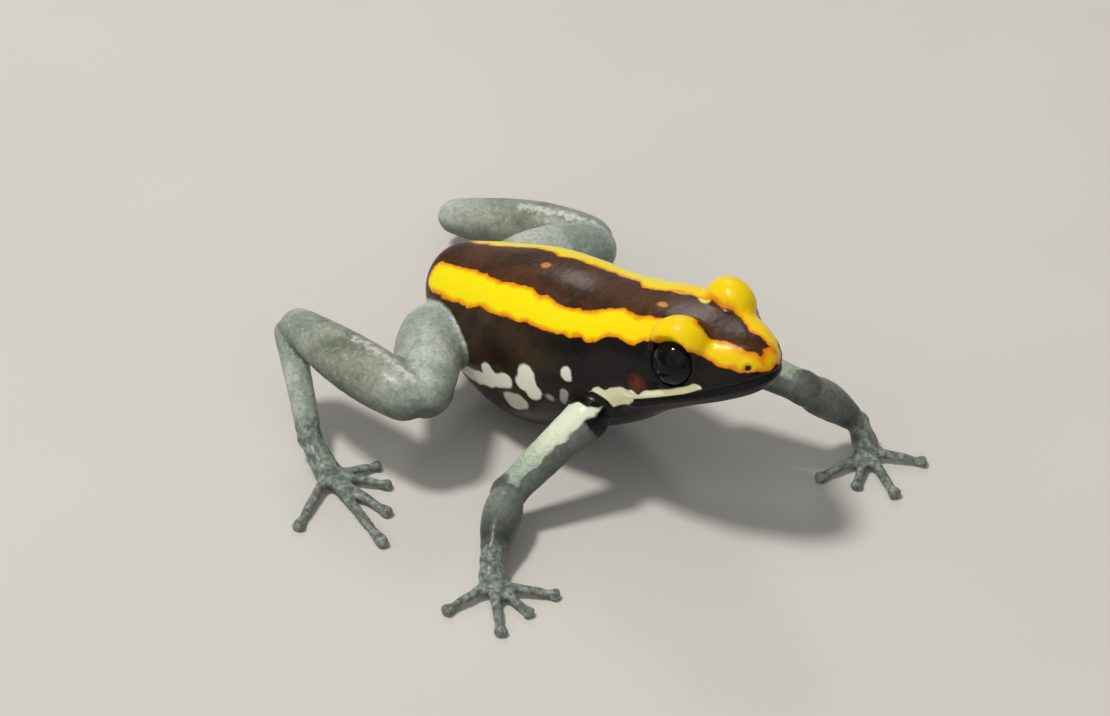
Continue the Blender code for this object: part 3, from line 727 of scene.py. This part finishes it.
def superellipse_distance(points):
    """About how far points lie outside the bare trunk, in millimetres, and their angle round it."""
    x = np.clip(points[:, 0], 0.05, SNOUT_VENT - 0.05)
    table = np.linspace(0, SNOUT_VENT, 400)
    columns = [np.interp(x, table, [curve_value(STATIONS, c, t) for t in table]) for c in range(1, 7)]
    top, bottom, level, half, square_up, square_down = columns
    rise = points[:, 2] - level
    height = np.where(rise > 0, top - level, level - bottom)
    power = np.where(rise > 0, square_up, square_down)
    across = np.abs(points[:, 1])
    ratio = ((across / half) ** power + (np.abs(rise) / height) ** power) ** (1 / power)
    radius = np.hypot(across, rise)
    outside = radius * (1 - 1 / np.maximum(ratio, 1e-6))
    ends = np.maximum(points[:, 0] - SNOUT_VENT, -points[:, 0])
    return np.maximum(outside, ends), np.degrees(np.arctan2(rise, across)), radius


def capsule_distance(points, start, end, radius_start, radius_end):
    """Distance outside a tapered capsule."""
    axis = end - start
    t = np.clip((points - start) @ axis / max(axis @ axis, 1e-9), 0, 1)
    near = start + t[:, None] * axis
    return np.linalg.norm(points - near, axis=1) - (radius_start + (radius_end - radius_start) * t), t


def chain_distance(points, spots, radii):
    """Distance outside a chain of tapered capsules, and the share of the way along it."""
    best = np.full(len(points), 1e3)
    share = np.zeros(len(points))
    count = len(spots) - 1
    for i in range(count):
        distance, t = capsule_distance(points, spots[i], spots[i + 1], radii[i], radii[i + 1])
        nearer = distance < best
        best[nearer] = distance[nearer]
        share[nearer] = (i + t[nearer]) / count
    return best, share


def bone_chain(a, b, bow, radii):
    """Points and radii of a limb part along its bowed bone."""
    keys = [(i / 2, q.x, q.y, q.z) for i, q in enumerate(bent((a, b), bow))]
    sizes = [(i / (len(radii) - 1), r) for i, r in enumerate(radii)]
    shares = [0.05 + 0.9 * n / 8 for n in range(9)]
    spots = [np.array([curve_value(keys, k, t) for k in (1, 2, 3)]) for t in shares]
    return spots, [curve_value(sizes, 1, t) for t in shares]


def smooth_step(values, low, high):
    t = np.clip((values - low) / (high - low), 0, 1)
    return t * t * (3 - 2 * t)


def bump(values, middle, width):
    return np.exp(-((values - middle) / width) ** 2)


def folds(values, shapes):
    """Soft ridges and grooves, each with a height, a middle and a width."""
    return sum(height * bump(values, middle, width) for height, middle, width in shapes)


def grain(points, size, seed):
    """Smooth noise at points, in -1..1, with features of a size in millimetres."""
    shift = Vector((seed * 17.3, seed * 5.1, seed * 9.7))
    return np.array([noise.noise(Vector(q) / size + shift) for q in points])


def mouth_height(x):
    """Height of the line of the mouth at a station, in the body frame."""
    drop = np.clip(1 - (x - MOUTH_CORNER.x) / (MOUTH_FRONT.x - MOUTH_CORNER.x), 0, 1)
    return MOUTH_FRONT.z + (MOUTH_CORNER.z - MOUTH_FRONT.z) * drop ** MOUTH_BOW


def refine_head(item):
    """Splits the cells of the head so that lids, lips and nostrils come out crisp."""
    bm = bmesh.new()
    bm.from_mesh(item.data)
    turn = BODY_TURN.inverted()
    head = {v: is_on_head(turn @ (v.co - RUMP_AT)) for v in bm.verts}
    edges = [e for e in bm.edges if all(head[v] for v in e.verts)]
    bmesh.ops.subdivide_edges(bm, edges=edges, cuts=1, use_grid_fill=True)
    bmesh.ops.triangulate(bm, faces=[f for f in bm.faces if len(f.verts) > 4])
    bm.to_mesh(item.data)
    bm.free()


def is_on_head(point):
    """Whether a point of the skin is on the head rather than on an arm below it."""
    if point.x <= HEAD_FROM:
        return False
    station = min(max(point.x, 0), SNOUT_VENT)
    low, half = curve_value(STATIONS, 2, station), curve_value(STATIONS, 4, station)
    return point.z > low - HEAD_MARGIN_BELOW and abs(point.y) < half + HEAD_MARGIN_ASIDE


def nostril_distance(body):
    """Distance from the nearer nostril, which is drawn out a little backwards."""
    offset = body.copy()
    offset[:, 1] = np.abs(offset[:, 1])
    offset -= np.array(NOSTRIL_AT)
    offset[:, 0] *= NOSTRIL_STRETCH
    return np.linalg.norm(offset, axis=1)


def shape_skin(skin, joints):
    """Mouth, lips, nostrils, eardrums and grain as moves of the skin's own points."""
    mesh = skin.data
    points = read_points(mesh)
    normals = read_points(mesh, "normal")
    body = body_coordinates(points)
    outside, angle, radius = superellipse_distance(body)
    x, y, z = body.T
    side = np.abs(y)

    on_head = smooth_step(x, *MOUTH_FADES) * (outside < MOUTH_REACH)
    move = on_head * folds(z - mouth_height(x), MOUTH_FOLDS)
    move += folds(nostril_distance(body), NOSTRIL_FOLDS)
    drum = np.hypot(x - DRUM_AT.x, z - DRUM_AT.z) + 5 * (side < HEAD_SIDE_FROM)
    dip = smooth_step(drum, DRUM_RADIUS, 0) * (side > HEAD_SIDE_FROM)
    move += DRUM_RELIEF * bump(drum, DRUM_RADIUS, DRUM_RIM) - DRUM_RELIEF * dip

    move += BEND_FILL * bend_weights(points, joints)
    limb, parts, shares, rounds = limb_fields(points, joints)
    flesh = smooth_step(outside - limb, -0.2, 0.4)
    coarse = grain(points, COARSE_SIZE, 1)
    fine = grain(points, FINE_SIZE, 2)
    move += (flesh * (COARSE_HEIGHT * coarse + FINE_HEIGHT * fine)
             + (1 - flesh) * LIMB_HEIGHT * coarse)
    points += normals * move[:, None]
    points[:, 2] = np.maximum(points[:, 2], 0.0)
    write_points(mesh, points)
    return Fields(body, outside, angle, radius, limb, parts, shares, rounds)


def limb_fields(points, joints):
    """Distance outside the nearest limb part, its number, and the share of the way along it and
    the turn round it."""
    best = np.full(len(points), 1e3)
    parts = np.full(len(points), -1)
    shares = np.zeros(len(points))
    rounds = np.zeros(len(points))
    for side in SIDES:
        out = 1 if side == "left" else -1
        painted = limb_parts(joints, side)
        hip, knee = painted[THIGH_PART][:2]
        painted[THIGH_PART] = (hip, knee, THIGH_PAINT_BOW, THIGH_RADII)
        ankle, wrist = joints["leg_" + side][-1], joints["arm_" + side][-1]
        for start, length, heading in ((ankle, SOLE_LENGTH, FOOT_HEADING[side]),
                                       (wrist, PALM_LENGTH, HAND_HEADING[side])):
            ball = along(Vector((start.x, start.y, 0)), length, heading, 0)
            painted.append((start, ball, Vector(), SOLE_PAINT_RADII))
        for part, (a, b, bow, radii) in enumerate(painted):
            distance, share = chain_distance(points, *bone_chain(a, b, bow, radii))
            if part >= SOLE_PART:
                distance = np.where(points[:, 2] < DIGITS_BELOW, np.minimum(distance, 0.4), distance)
                away = np.linalg.norm(points - np.array((b.x, b.y, 0.0)), axis=1)
                distance = np.where(away > DIGITS_WITHIN, 1e3, distance)
            nearer = distance < best
            best[nearer] = distance[nearer]
            parts[nearer] = part
            shares[nearer] = share[nearer]
            rounds[nearer] = turn_about(points[nearer], a, b, out)
    return best, parts, shares, rounds


def turn_about(points, a, b, out):
    """Degrees round a bone from its upper side, growing towards the animal's front or right."""
    axis = (b - a).normalized()
    up = (Vector((0, 0, 1)) - axis * axis.z).normalized()
    across = axis.cross(up) * out
    offset = points - np.array((a + b) / 2)
    return np.degrees(np.arctan2(offset @ np.array(across), offset @ np.array(up)))


def edge_curve(keys, x):
    """Smooth curve through pairs of station and value, level beyond its ends."""
    table = np.linspace(0, SNOUT_VENT, 270)
    first, last = keys[0][0], keys[-1][0]
    return np.interp(x, table, [curve_value(keys, 1, min(max(t, first), last)) for t in table])


def store_mark(mesh, name, values):
    store(mesh, name, np.clip(values, -MARK_LIMIT, MARK_LIMIT))


def mark_stripes(mesh, f):
    """Brown of the back and crown, and the yellow stripes beside it."""
    x, y, z = f.body.T
    arc = np.radians(1) * f.radius
    half = np.where(y < 0, edge_curve(CROWN_RIGHT, x), edge_curve(CROWN_LEFT, x))
    crown = np.where(z > CROWN_ABOVE, half - np.abs(y), -MARK_LIMIT)
    crown = np.minimum(crown, (CROWN_END - x) * CROWN_TIP_SLOPE)
    store_mark(mesh, "crown", crown)
    stripe = np.minimum((f.angle - edge_curve(STRIPE_LOWER, x)) * arc, -crown)
    end_x, end_angle, end_radius = STRIPE_END
    from_end = np.hypot(x - end_x, (f.angle - end_angle) * arc)
    stripe = np.where(x < end_x, end_radius - from_end, stripe)
    store_mark(mesh, "stripe", np.minimum(stripe, 0.3 - (f.outside - f.limb)))


def mark_lip(mesh, f):
    x, y, z = f.body.T
    keys = np.array(LIP_LINE)
    middle = np.interp(x, keys[:, 0], keys[:, 1])
    half = np.interp(x, keys[:, 0], keys[:, 2])
    lip = half - np.abs(z - middle)
    lip = np.minimum(lip, np.minimum(x - keys[0, 0], keys[-1, 0] - x))
    lip = np.where(x > MOUTH_CORNER.x + 0.3, np.minimum(lip, z - mouth_height(x)), lip)
    lip = np.where(np.abs(y) > LIP_SIDE_FROM, np.minimum(lip, 0.2 - (f.outside - f.limb)), -MARK_LIMIT)
    store_mark(mesh, "lip", lip)


def mark_spots(mesh, f):
    """Pale spots of the flank and small ones of the back."""
    x, y, z = f.body.T
    spot = np.full(len(x), -MARK_LIMIT)
    light = np.zeros(len(x))
    plane = np.stack((x, z), 1)
    for x0, z0, x1, z1, size, shine in FLANK_SPOTS:
        distance, _ = capsule_distance(plane, np.array((x0, z0)), np.array((x1, z1)), size, size)
        inside = np.minimum(-distance, 0.2 - (f.outside - f.limb))
        inside = np.where(np.abs(y) > FLANK_FROM, inside, -MARK_LIMIT)
        light = np.where(inside > spot, shine, light)
        spot = np.maximum(spot, inside)
    store_mark(mesh, "spot", spot)
    store(mesh, "spot_light", light)

    dot = np.full(len(x), -MARK_LIMIT)
    yellow = np.zeros(len(x))
    for at, right, long_half, wide_half, share in BACK_SPOTS:
        ratio = np.hypot((x - at) / long_half, (y + right) / wide_half)
        inside = np.where(z > BACK_ABOVE, (1 - ratio) * wide_half, -MARK_LIMIT)
        yellow = np.where(inside > dot, share, yellow)
        dot = np.maximum(dot, inside)
    store_mark(mesh, "dot", dot)
    store(mesh, "dot_yellow", yellow)


def band_along(f, band, radius, length, slant=0.0):
    """Band on the upper side of a bone, in millimetres inside its edges."""
    start, stop, middle, half = band
    across = (half - np.abs(f.rounds - middle)) * math.radians(radius)
    inside = np.minimum(across, (f.shares - start + f.rounds * slant) * length)
    return np.minimum(inside, (stop - f.shares) * length)


def mark_limbs(mesh, f):
    """Grey of the limbs, bar of the upper arm, painted highlight along the shank, and where they are
    darker: the upper arm, and painted shade below, in the elbow's crease and down the forearm.
    """
    parts, shares, rounds = f.parts, f.shares, f.rounds
    on_limb = f.outside - f.limb
    upper_arm, forearm = parts == UPPER_ARM_PART, parts == FOREARM_PART
    limb = np.where((f.body[:, 0] > THROAT_FROM) & (f.limb > 0.6), -MARK_LIMIT, on_limb)
    limb = np.where(upper_arm, np.minimum(limb, (shares - ARM_DARK_TO) * HUMERUS), limb)
    store_mark(mesh, "limb", limb)
    bar = np.minimum(band_along(f, ARM_BAR, ARM_BAR_RADIUS, HUMERUS, ARM_BAR_SLANT), on_limb + 0.1)
    store(mesh, "bar", np.where(upper_arm, bar, -MARK_LIMIT))
    store(mesh, "along", shares)
    # Painted highlight: a pale band along the shank's upper side stands for its wet glint
    line = band_along(f, SHANK_HIGHLIGHT, SHANK_HIGHLIGHT_RADIUS, SHANK)
    store(mesh, "shank_glint", np.where(parts == SHANK_PART, line, -MARK_LIMIT))
    # Painted shade on the limbs' undersides, turned round towards the front on the arms
    turned = np.abs(rounds + ARM_SHADE_TURN) - ARM_SHADE_DELAY
    turned = np.where(upper_arm | forearm, turned, np.abs(rounds))
    store(mesh, "under", smooth_step(turned, *UNDERSIDE_SHADE_FADES) * (parts < SOLE_PART))
    # Painted shade in the elbow's crease, at the end of the upper arm and the start of the forearm
    crease_shade = bump(shares, *UPPER_ARM_CREASE_SHADE) * upper_arm + bump(shares, *FOREARM_CREASE_SHADE) * forearm
    store(mesh, "crease_shade", crease_shade)
    store(mesh, "shank", bump(shares, *SHANK_OLIVE) * (parts == SHANK_PART))
    # Darker grey over the upper arm, and painted shade on the forearm that grows towards the wrist
    shade = np.clip(FOREARM_SHADE[0] + FOREARM_SHADE[1] * shares, 0, 1)
    store(mesh, "fore", UPPER_ARM_SHADE * upper_arm + shade * forearm)
    root = smooth_step(shares, *TARSUS_DIGITS) * (parts == TARSUS_PART)
    root += smooth_step(shares, *FOREARM_DIGITS) * forearm
    store(mesh, "digits", np.maximum(root, parts >= SOLE_PART))


def mark_skin(mesh, f):
    """Distances in millimetres, positive inside, that the paint is cut from."""
    x, y, z = f.body.T
    mark_stripes(mesh, f)
    mark_lip(mesh, f)
    mark_spots(mesh, f)
    mark_limbs(mesh, f)
    store(mesh, "belly", np.clip((-f.angle - BELLY_FROM) / BELLY_FADE, 0, 1))
    drum = DRUM_PATCH[2] - np.hypot(x - DRUM_PATCH[0], z - DRUM_PATCH[1])
    store(mesh, "drum", np.where(np.abs(y) > HEAD_SIDE_FROM, drum, -MARK_LIMIT))
    # Painted shade in the groove of the mouth and in the nostril pits
    mouth_shade = MOUTH_SHADE - np.abs(z - mouth_height(x))
    mouth_shade = np.where((x > MOUTH_CORNER.x) & (f.outside < 0.6), mouth_shade, -MARK_LIMIT)
    store_mark(mesh, "pit_shade", np.maximum(mouth_shade, NOSTRIL_SHADE - nostril_distance(f.body)))


class Paint:
    """Short ways to write a material's nodes."""

    def __init__(self, name):
        self.material = bpy.data.materials.new(name)
        self.material.use_nodes = True
        self.tree = self.material.node_tree
        self.shader = self.tree.nodes["Principled BSDF"]
        self.where = self.node("ShaderNodeTexCoord").outputs["Object"]

    def node(self, kind, **settings):
        made = self.tree.nodes.new(kind)
        for key, value in settings.items():
            setattr(made, key, value)
        return made

    def link(self, value, socket):
        if hasattr(value, "links"):
            self.tree.links.new(value, socket)
        else:
            socket.default_value = value

    def attribute(self, name):
        return self.node("ShaderNodeAttribute", attribute_name=name).outputs["Fac"]

    def noise(self, name):
        size, detail, roughness, *warp = NOISES[name]
        made = self.node("ShaderNodeTexNoise")
        self.link(self.where, made.inputs["Vector"])
        made.inputs["Scale"].default_value = 1.0 / (size * MM)
        made.inputs["Detail"].default_value = detail
        made.inputs["Roughness"].default_value = roughness
        made.inputs["Distortion"].default_value = warp[0] if warp else 0.0
        return made.outputs["Fac"]

    def axis(self, name):
        made = self.node("ShaderNodeSeparateXYZ")
        self.link(self.where, made.inputs[0])
        return made.outputs[name]

    def cells(self, size):
        made = self.node("ShaderNodeTexVoronoi", feature="SMOOTH_F1")
        self.link(self.where, made.inputs["Vector"])
        made.inputs["Scale"].default_value = 1.0 / (size * MM)
        return made.outputs["Distance"]

    def plus(self, a, b):
        return self.math("ADD", a, b)

    def times(self, a, b):
        return self.math("MULTIPLY", a, b)

    def mark(self, name, ragged):
        """Share of paint of a mark that the skin's points carry."""
        amount, low, high = MARK_EDGES[name]
        value = self.attribute(name)
        if amount:
            value = self.plus(value, self.times(ragged, amount))
        return self.step(value, low, high)

    def settings(self, values):
        for name, value in values.items():
            self.shader.inputs[name].default_value = value

    def math(self, operation, a, b):
        made = self.node("ShaderNodeMath", operation=operation)
        self.link(a, made.inputs[0])
        self.link(b, made.inputs[1])
        return made.outputs[0]

    def step(self, value, low, high):
        """Soft step from 0 to 1 between two values."""
        made = self.node("ShaderNodeMapRange", interpolation_type="SMOOTHSTEP")
        self.link(value, made.inputs["Value"])
        made.inputs["From Min"].default_value = low
        made.inputs["From Max"].default_value = high
        return made.outputs["Result"]

    def mix(self, factor, a, b, kind="RGBA", first=6, out=2):
        made = self.node("ShaderNodeMix", data_type=kind)
        self.link(factor, made.inputs["Factor"])
        self.link(a, made.inputs[first])
        self.link(b, made.inputs[first + 1])
        return made.outputs[out]

    def blend(self, factor, a, b):
        return self.mix(factor, a, b, "FLOAT", 2, 0)

    def relief(self, height, depth):
        made = self.node("ShaderNodeBump")
        made.inputs["Strength"].default_value = 1.0
        made.inputs["Distance"].default_value = depth * MM
        self.link(height, made.inputs["Height"])
        self.link(made.outputs["Normal"], self.shader.inputs["Normal"])


def tone(name):
    """Colour of the palette in linear light."""
    def linear(value):
        value /= 255
        return value / 12.92 if value <= 0.04045 else ((value + 0.055) / 1.055) ** 2.4
    return tuple(linear(value) for value in PALETTE[name]) + (1.0,)


def trunk_colour(p, fine):
    """Brown back, dark flanks whose lighter blotches are partly a painted faint sheen, and marbled
    belly.
    """
    blotch = p.noise("blotch")
    back = p.mix(p.step(blotch, 0.35, 0.7), tone("back_dark"), tone("back_light"))
    back = p.mix(p.times(p.step(fine, 0.45, 0.75), 0.5), back, tone("back_fleck"))
    # Lighter blotches on the flanks: partly the flank's own brown, partly a painted faint sheen,
    # stronger on the rear
    rear = p.mix(p.step(blotch, 0.35, 0.7), tone("rear_flank_dark"), tone("rear_flank_brown_and_sheen"))
    front = p.mix(p.step(blotch, 0.4, 0.7), tone("front_flank_dark"), tone("front_flank_brown_and_sheen"))
    flank = p.mix(p.step(p.axis("X"), *[at * MM for at in FLANK_DARKENS]), rear, front)
    dark = p.mix(p.mark("crown", 0), flank, back)
    marble = p.step(p.noise("marble"), 0.53, 0.60)
    under = p.mix(marble, tone("belly"), tone("belly_marbling"))
    return p.mix(p.mark("belly", 0), dark, under)


def limb_colour(p, fine, freckle):
    """Mottled grey of the limbs, with painted shade below, in the elbow's crease and down the
    forearms, a darker upper arm, and a painted highlight along the shank.
    """
    clouds = p.step(p.noise("clouds"), 0.36, 0.64)
    pale = p.mix(clouds, tone("limb_grey"), tone("limb_pale"))
    olive = p.mix(clouds, tone("shank_olive"), tone("shank_pale"))
    pale = p.mix(p.attribute("shank"), pale, olive)
    grey = p.mix(p.times(freckle, 0.34), pale, tone("limb_freckle"))
    fleck = p.step(p.noise("fleck"), 0.56, 0.74)
    grey = p.mix(p.times(fleck, 0.35), grey, tone("limb_fleck"))
    # Mixed towards limb_shade: painted shade below, in the elbow's crease and down the forearm, and a
    # darker upper arm
    shade = p.times(p.attribute("under"), 0.78)
    for name, strength in (("crease_shade", 0.8), ("fore", 0.92)):
        shade = p.math("MAXIMUM", shade, p.times(p.attribute(name), strength))
    grey = p.mix(shade, grey, tone("limb_shade"))
    digits = p.mix(p.step(fine, 0.35, 0.7), tone("digit_dark"), tone("digit_light"))
    grey = p.mix(p.attribute("digits"), grey, digits)
    # Painted highlight along the shank, broken up by noise, in a near white
    shank_glint = p.plus(p.attribute("shank_glint"), p.times(p.math("SUBTRACT", fine, 0.5), 1.6))
    return p.mix(p.times(p.step(shank_glint, -0.15, 0.30), 0.7), grey, tone("shank_highlight"))


def bar_colour(p, freckle):
    """Cream of the upper arm's bar, greyer and mottled towards the elbow."""
    cream = p.mix(p.step(p.attribute("along"), 0.35, 0.95), tone("bar_cream"), tone("bar_grey"))
    mottle = p.times(freckle, p.step(p.attribute("along"), 0.2, 0.9))
    return p.mix(p.times(mottle, 0.5), cream, tone("bar_mottle"))


def stripe_colour(p, ragged):
    """Yellow with an orange edge, deeper on the head."""
    deepens = p.step(p.axis("X"), *[at * MM for at in HEAD_DEEPENS])
    bright = p.mix(deepens, tone("stripe_yellow"), tone("stripe_snout"))
    edge = p.plus(p.attribute("stripe"), p.times(ragged, MARK_EDGES["stripe"][0]))
    return p.mix(p.step(edge, *STRIPE_EDGE_FADES), tone("stripe_edge"), bright)


def skin_material():
    p = Paint("frog_skin")
    ragged = p.math("SUBTRACT", p.noise("ragged"), 0.5)
    fine = p.noise("fine")
    freckle = p.step(p.noise("freckle"), 0.42, 0.66)
    limb = p.mark("limb", ragged)
    ochre = p.mix(p.attribute("dot_yellow"), tone("dot_orange"), tone("dot_yellow"))

    colour = p.mix(limb, trunk_colour(p, fine), limb_colour(p, fine, freckle))
    for share, paint in (
            (p.mark("bar", ragged), bar_colour(p, freckle)),
            (p.times(p.mark("drum", ragged), 0.8), tone("drum_red")),
            (p.times(p.mark("spot", ragged), p.attribute("spot_light")), tone("flank_spot")),
            (p.mark("lip", ragged), tone("lip")),
            (p.times(p.mark("dot", ragged), 0.9), ochre),
            (p.mark("stripe", ragged), stripe_colour(p, ragged)),
            # painted shade in the mouth's groove and the nostrils
            (p.mark("pit_shade", ragged), tone("pit_shade"))):
        colour = p.mix(share, colour, paint)
    p.link(colour, p.shader.inputs["Base Color"])

    rough = p.blend(limb, p.blend(fine, *BODY_ROUGHNESS), p.blend(fine, *LIMB_ROUGHNESS))
    p.link(rough, p.shader.inputs["Roughness"])
    p.settings(SKIN_SHADER)
    pebble = p.times(p.cells(PEBBLE_SIZE), 0.8)
    p.relief(p.plus(pebble, p.times(fine, 0.25)), PEBBLE_DEPTH)
    return p.material


def make_eye(side):
    """Ball with a fuller cornea, marked by the angle off its axis for pupil and iris."""
    bm = sphere(EYE_MESH)
    turn = frame_of(mirrored(EYE_LOOK, side))
    centre = mirrored(EYE_AT, side)
    off = []
    for vertex in bm.verts:
        way = turn @ vertex.co
        off.append(vertex.co.angle(Vector((0, 0, 1))))
        lift = 1 + CORNEA_RISE * math.exp(-(off[-1] / CORNEA_SPREAD) ** 2)
        vertex.co = to_world(centre + way * EYE_RADIUS * lift) * MM
    eye = mesh_object("eyeball_" + side, bm)
    store(eye.data, "off", np.array(off))
    for face in eye.data.polygons:
        face.use_smooth = True
    return eye


def eye_material():
    p = Paint("frog_eye")
    off = p.attribute("off")
    iris = p.mix(p.step(p.noise("iris"), 0.55, 0.7), tone("iris"), tone("iris_fleck"))
    colour = p.mix(p.step(off, *IRIS_BEGINS), tone("pupil"), iris)
    colour = p.mix(p.step(off, *IRIS_ENDS), colour, tone("eye_edge"))
    p.link(colour, p.shader.inputs["Base Color"])
    p.settings(EYE_SHADER)
    return p.material


def floor_material():
    p = Paint("studio_floor")
    colour = p.mix(p.noise("floor"), tone("floor_dark"), tone("floor_light"))
    p.link(colour, p.shader.inputs["Base Color"])
    p.settings({"Roughness": 0.8})
    return p.material


def make_floor():
    bm = bmesh.new()
    bmesh.ops.create_grid(bm, x_segments=2, y_segments=2, size=FLOOR_HALF)
    floor = mesh_object("floor", bm)
    floor.data.materials.append(floor_material())


def area_light(name, azimuth, elevation, distance, size, power, colour):
    """Soft light that shines on the frog from a direction."""
    right, up, back = view_axes(azimuth, elevation)
    data = bpy.data.lights.new(name, "AREA")
    data.shape = "DISK"
    data.size = size
    data.energy = power
    data.color = colour
    lamp = bpy.data.objects.new(name, data)
    bpy.context.scene.collection.objects.link(lamp)
    turn = Matrix((right, up, back)).transposed().to_4x4()
    lamp.matrix_world = Matrix.Translation(back * distance) @ turn


def make_lights():
    for name, settings in LIGHTS.items():
        area_light(name, *settings)
    world = bpy.data.worlds.new("studio")
    world.use_nodes = True
    world.node_tree.nodes["Background"].inputs["Color"].default_value = WORLD_COLOUR
    world.node_tree.nodes["Background"].inputs["Strength"].default_value = WORLD_STRENGTH
    bpy.context.scene.world = world
    bpy.context.scene.view_settings.view_transform = "Standard"


def finish_skin(skin):
    """Back to metres, smooth, painted, and standing for every node of flesh."""
    write_points(skin.data, read_points(skin.data) * MM)
    for face in skin.data.polygons:
        face.use_smooth = True
    skin.data.materials.append(skin_material())
    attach(skin, "root")
    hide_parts(*[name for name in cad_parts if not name.startswith("eye")])


make_camera()
joints = limb_joints()
skin = raw_skin(joints)
fields = shape_skin(skin, joints)
mark_skin(skin.data, fields)
finish_skin(skin)
for side in SIDES:
    eye = make_eye(side)
    eye.data.materials.append(eye_material())
    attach(eye, "root")
    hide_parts("eye_" + side)
make_floor()
make_lights()
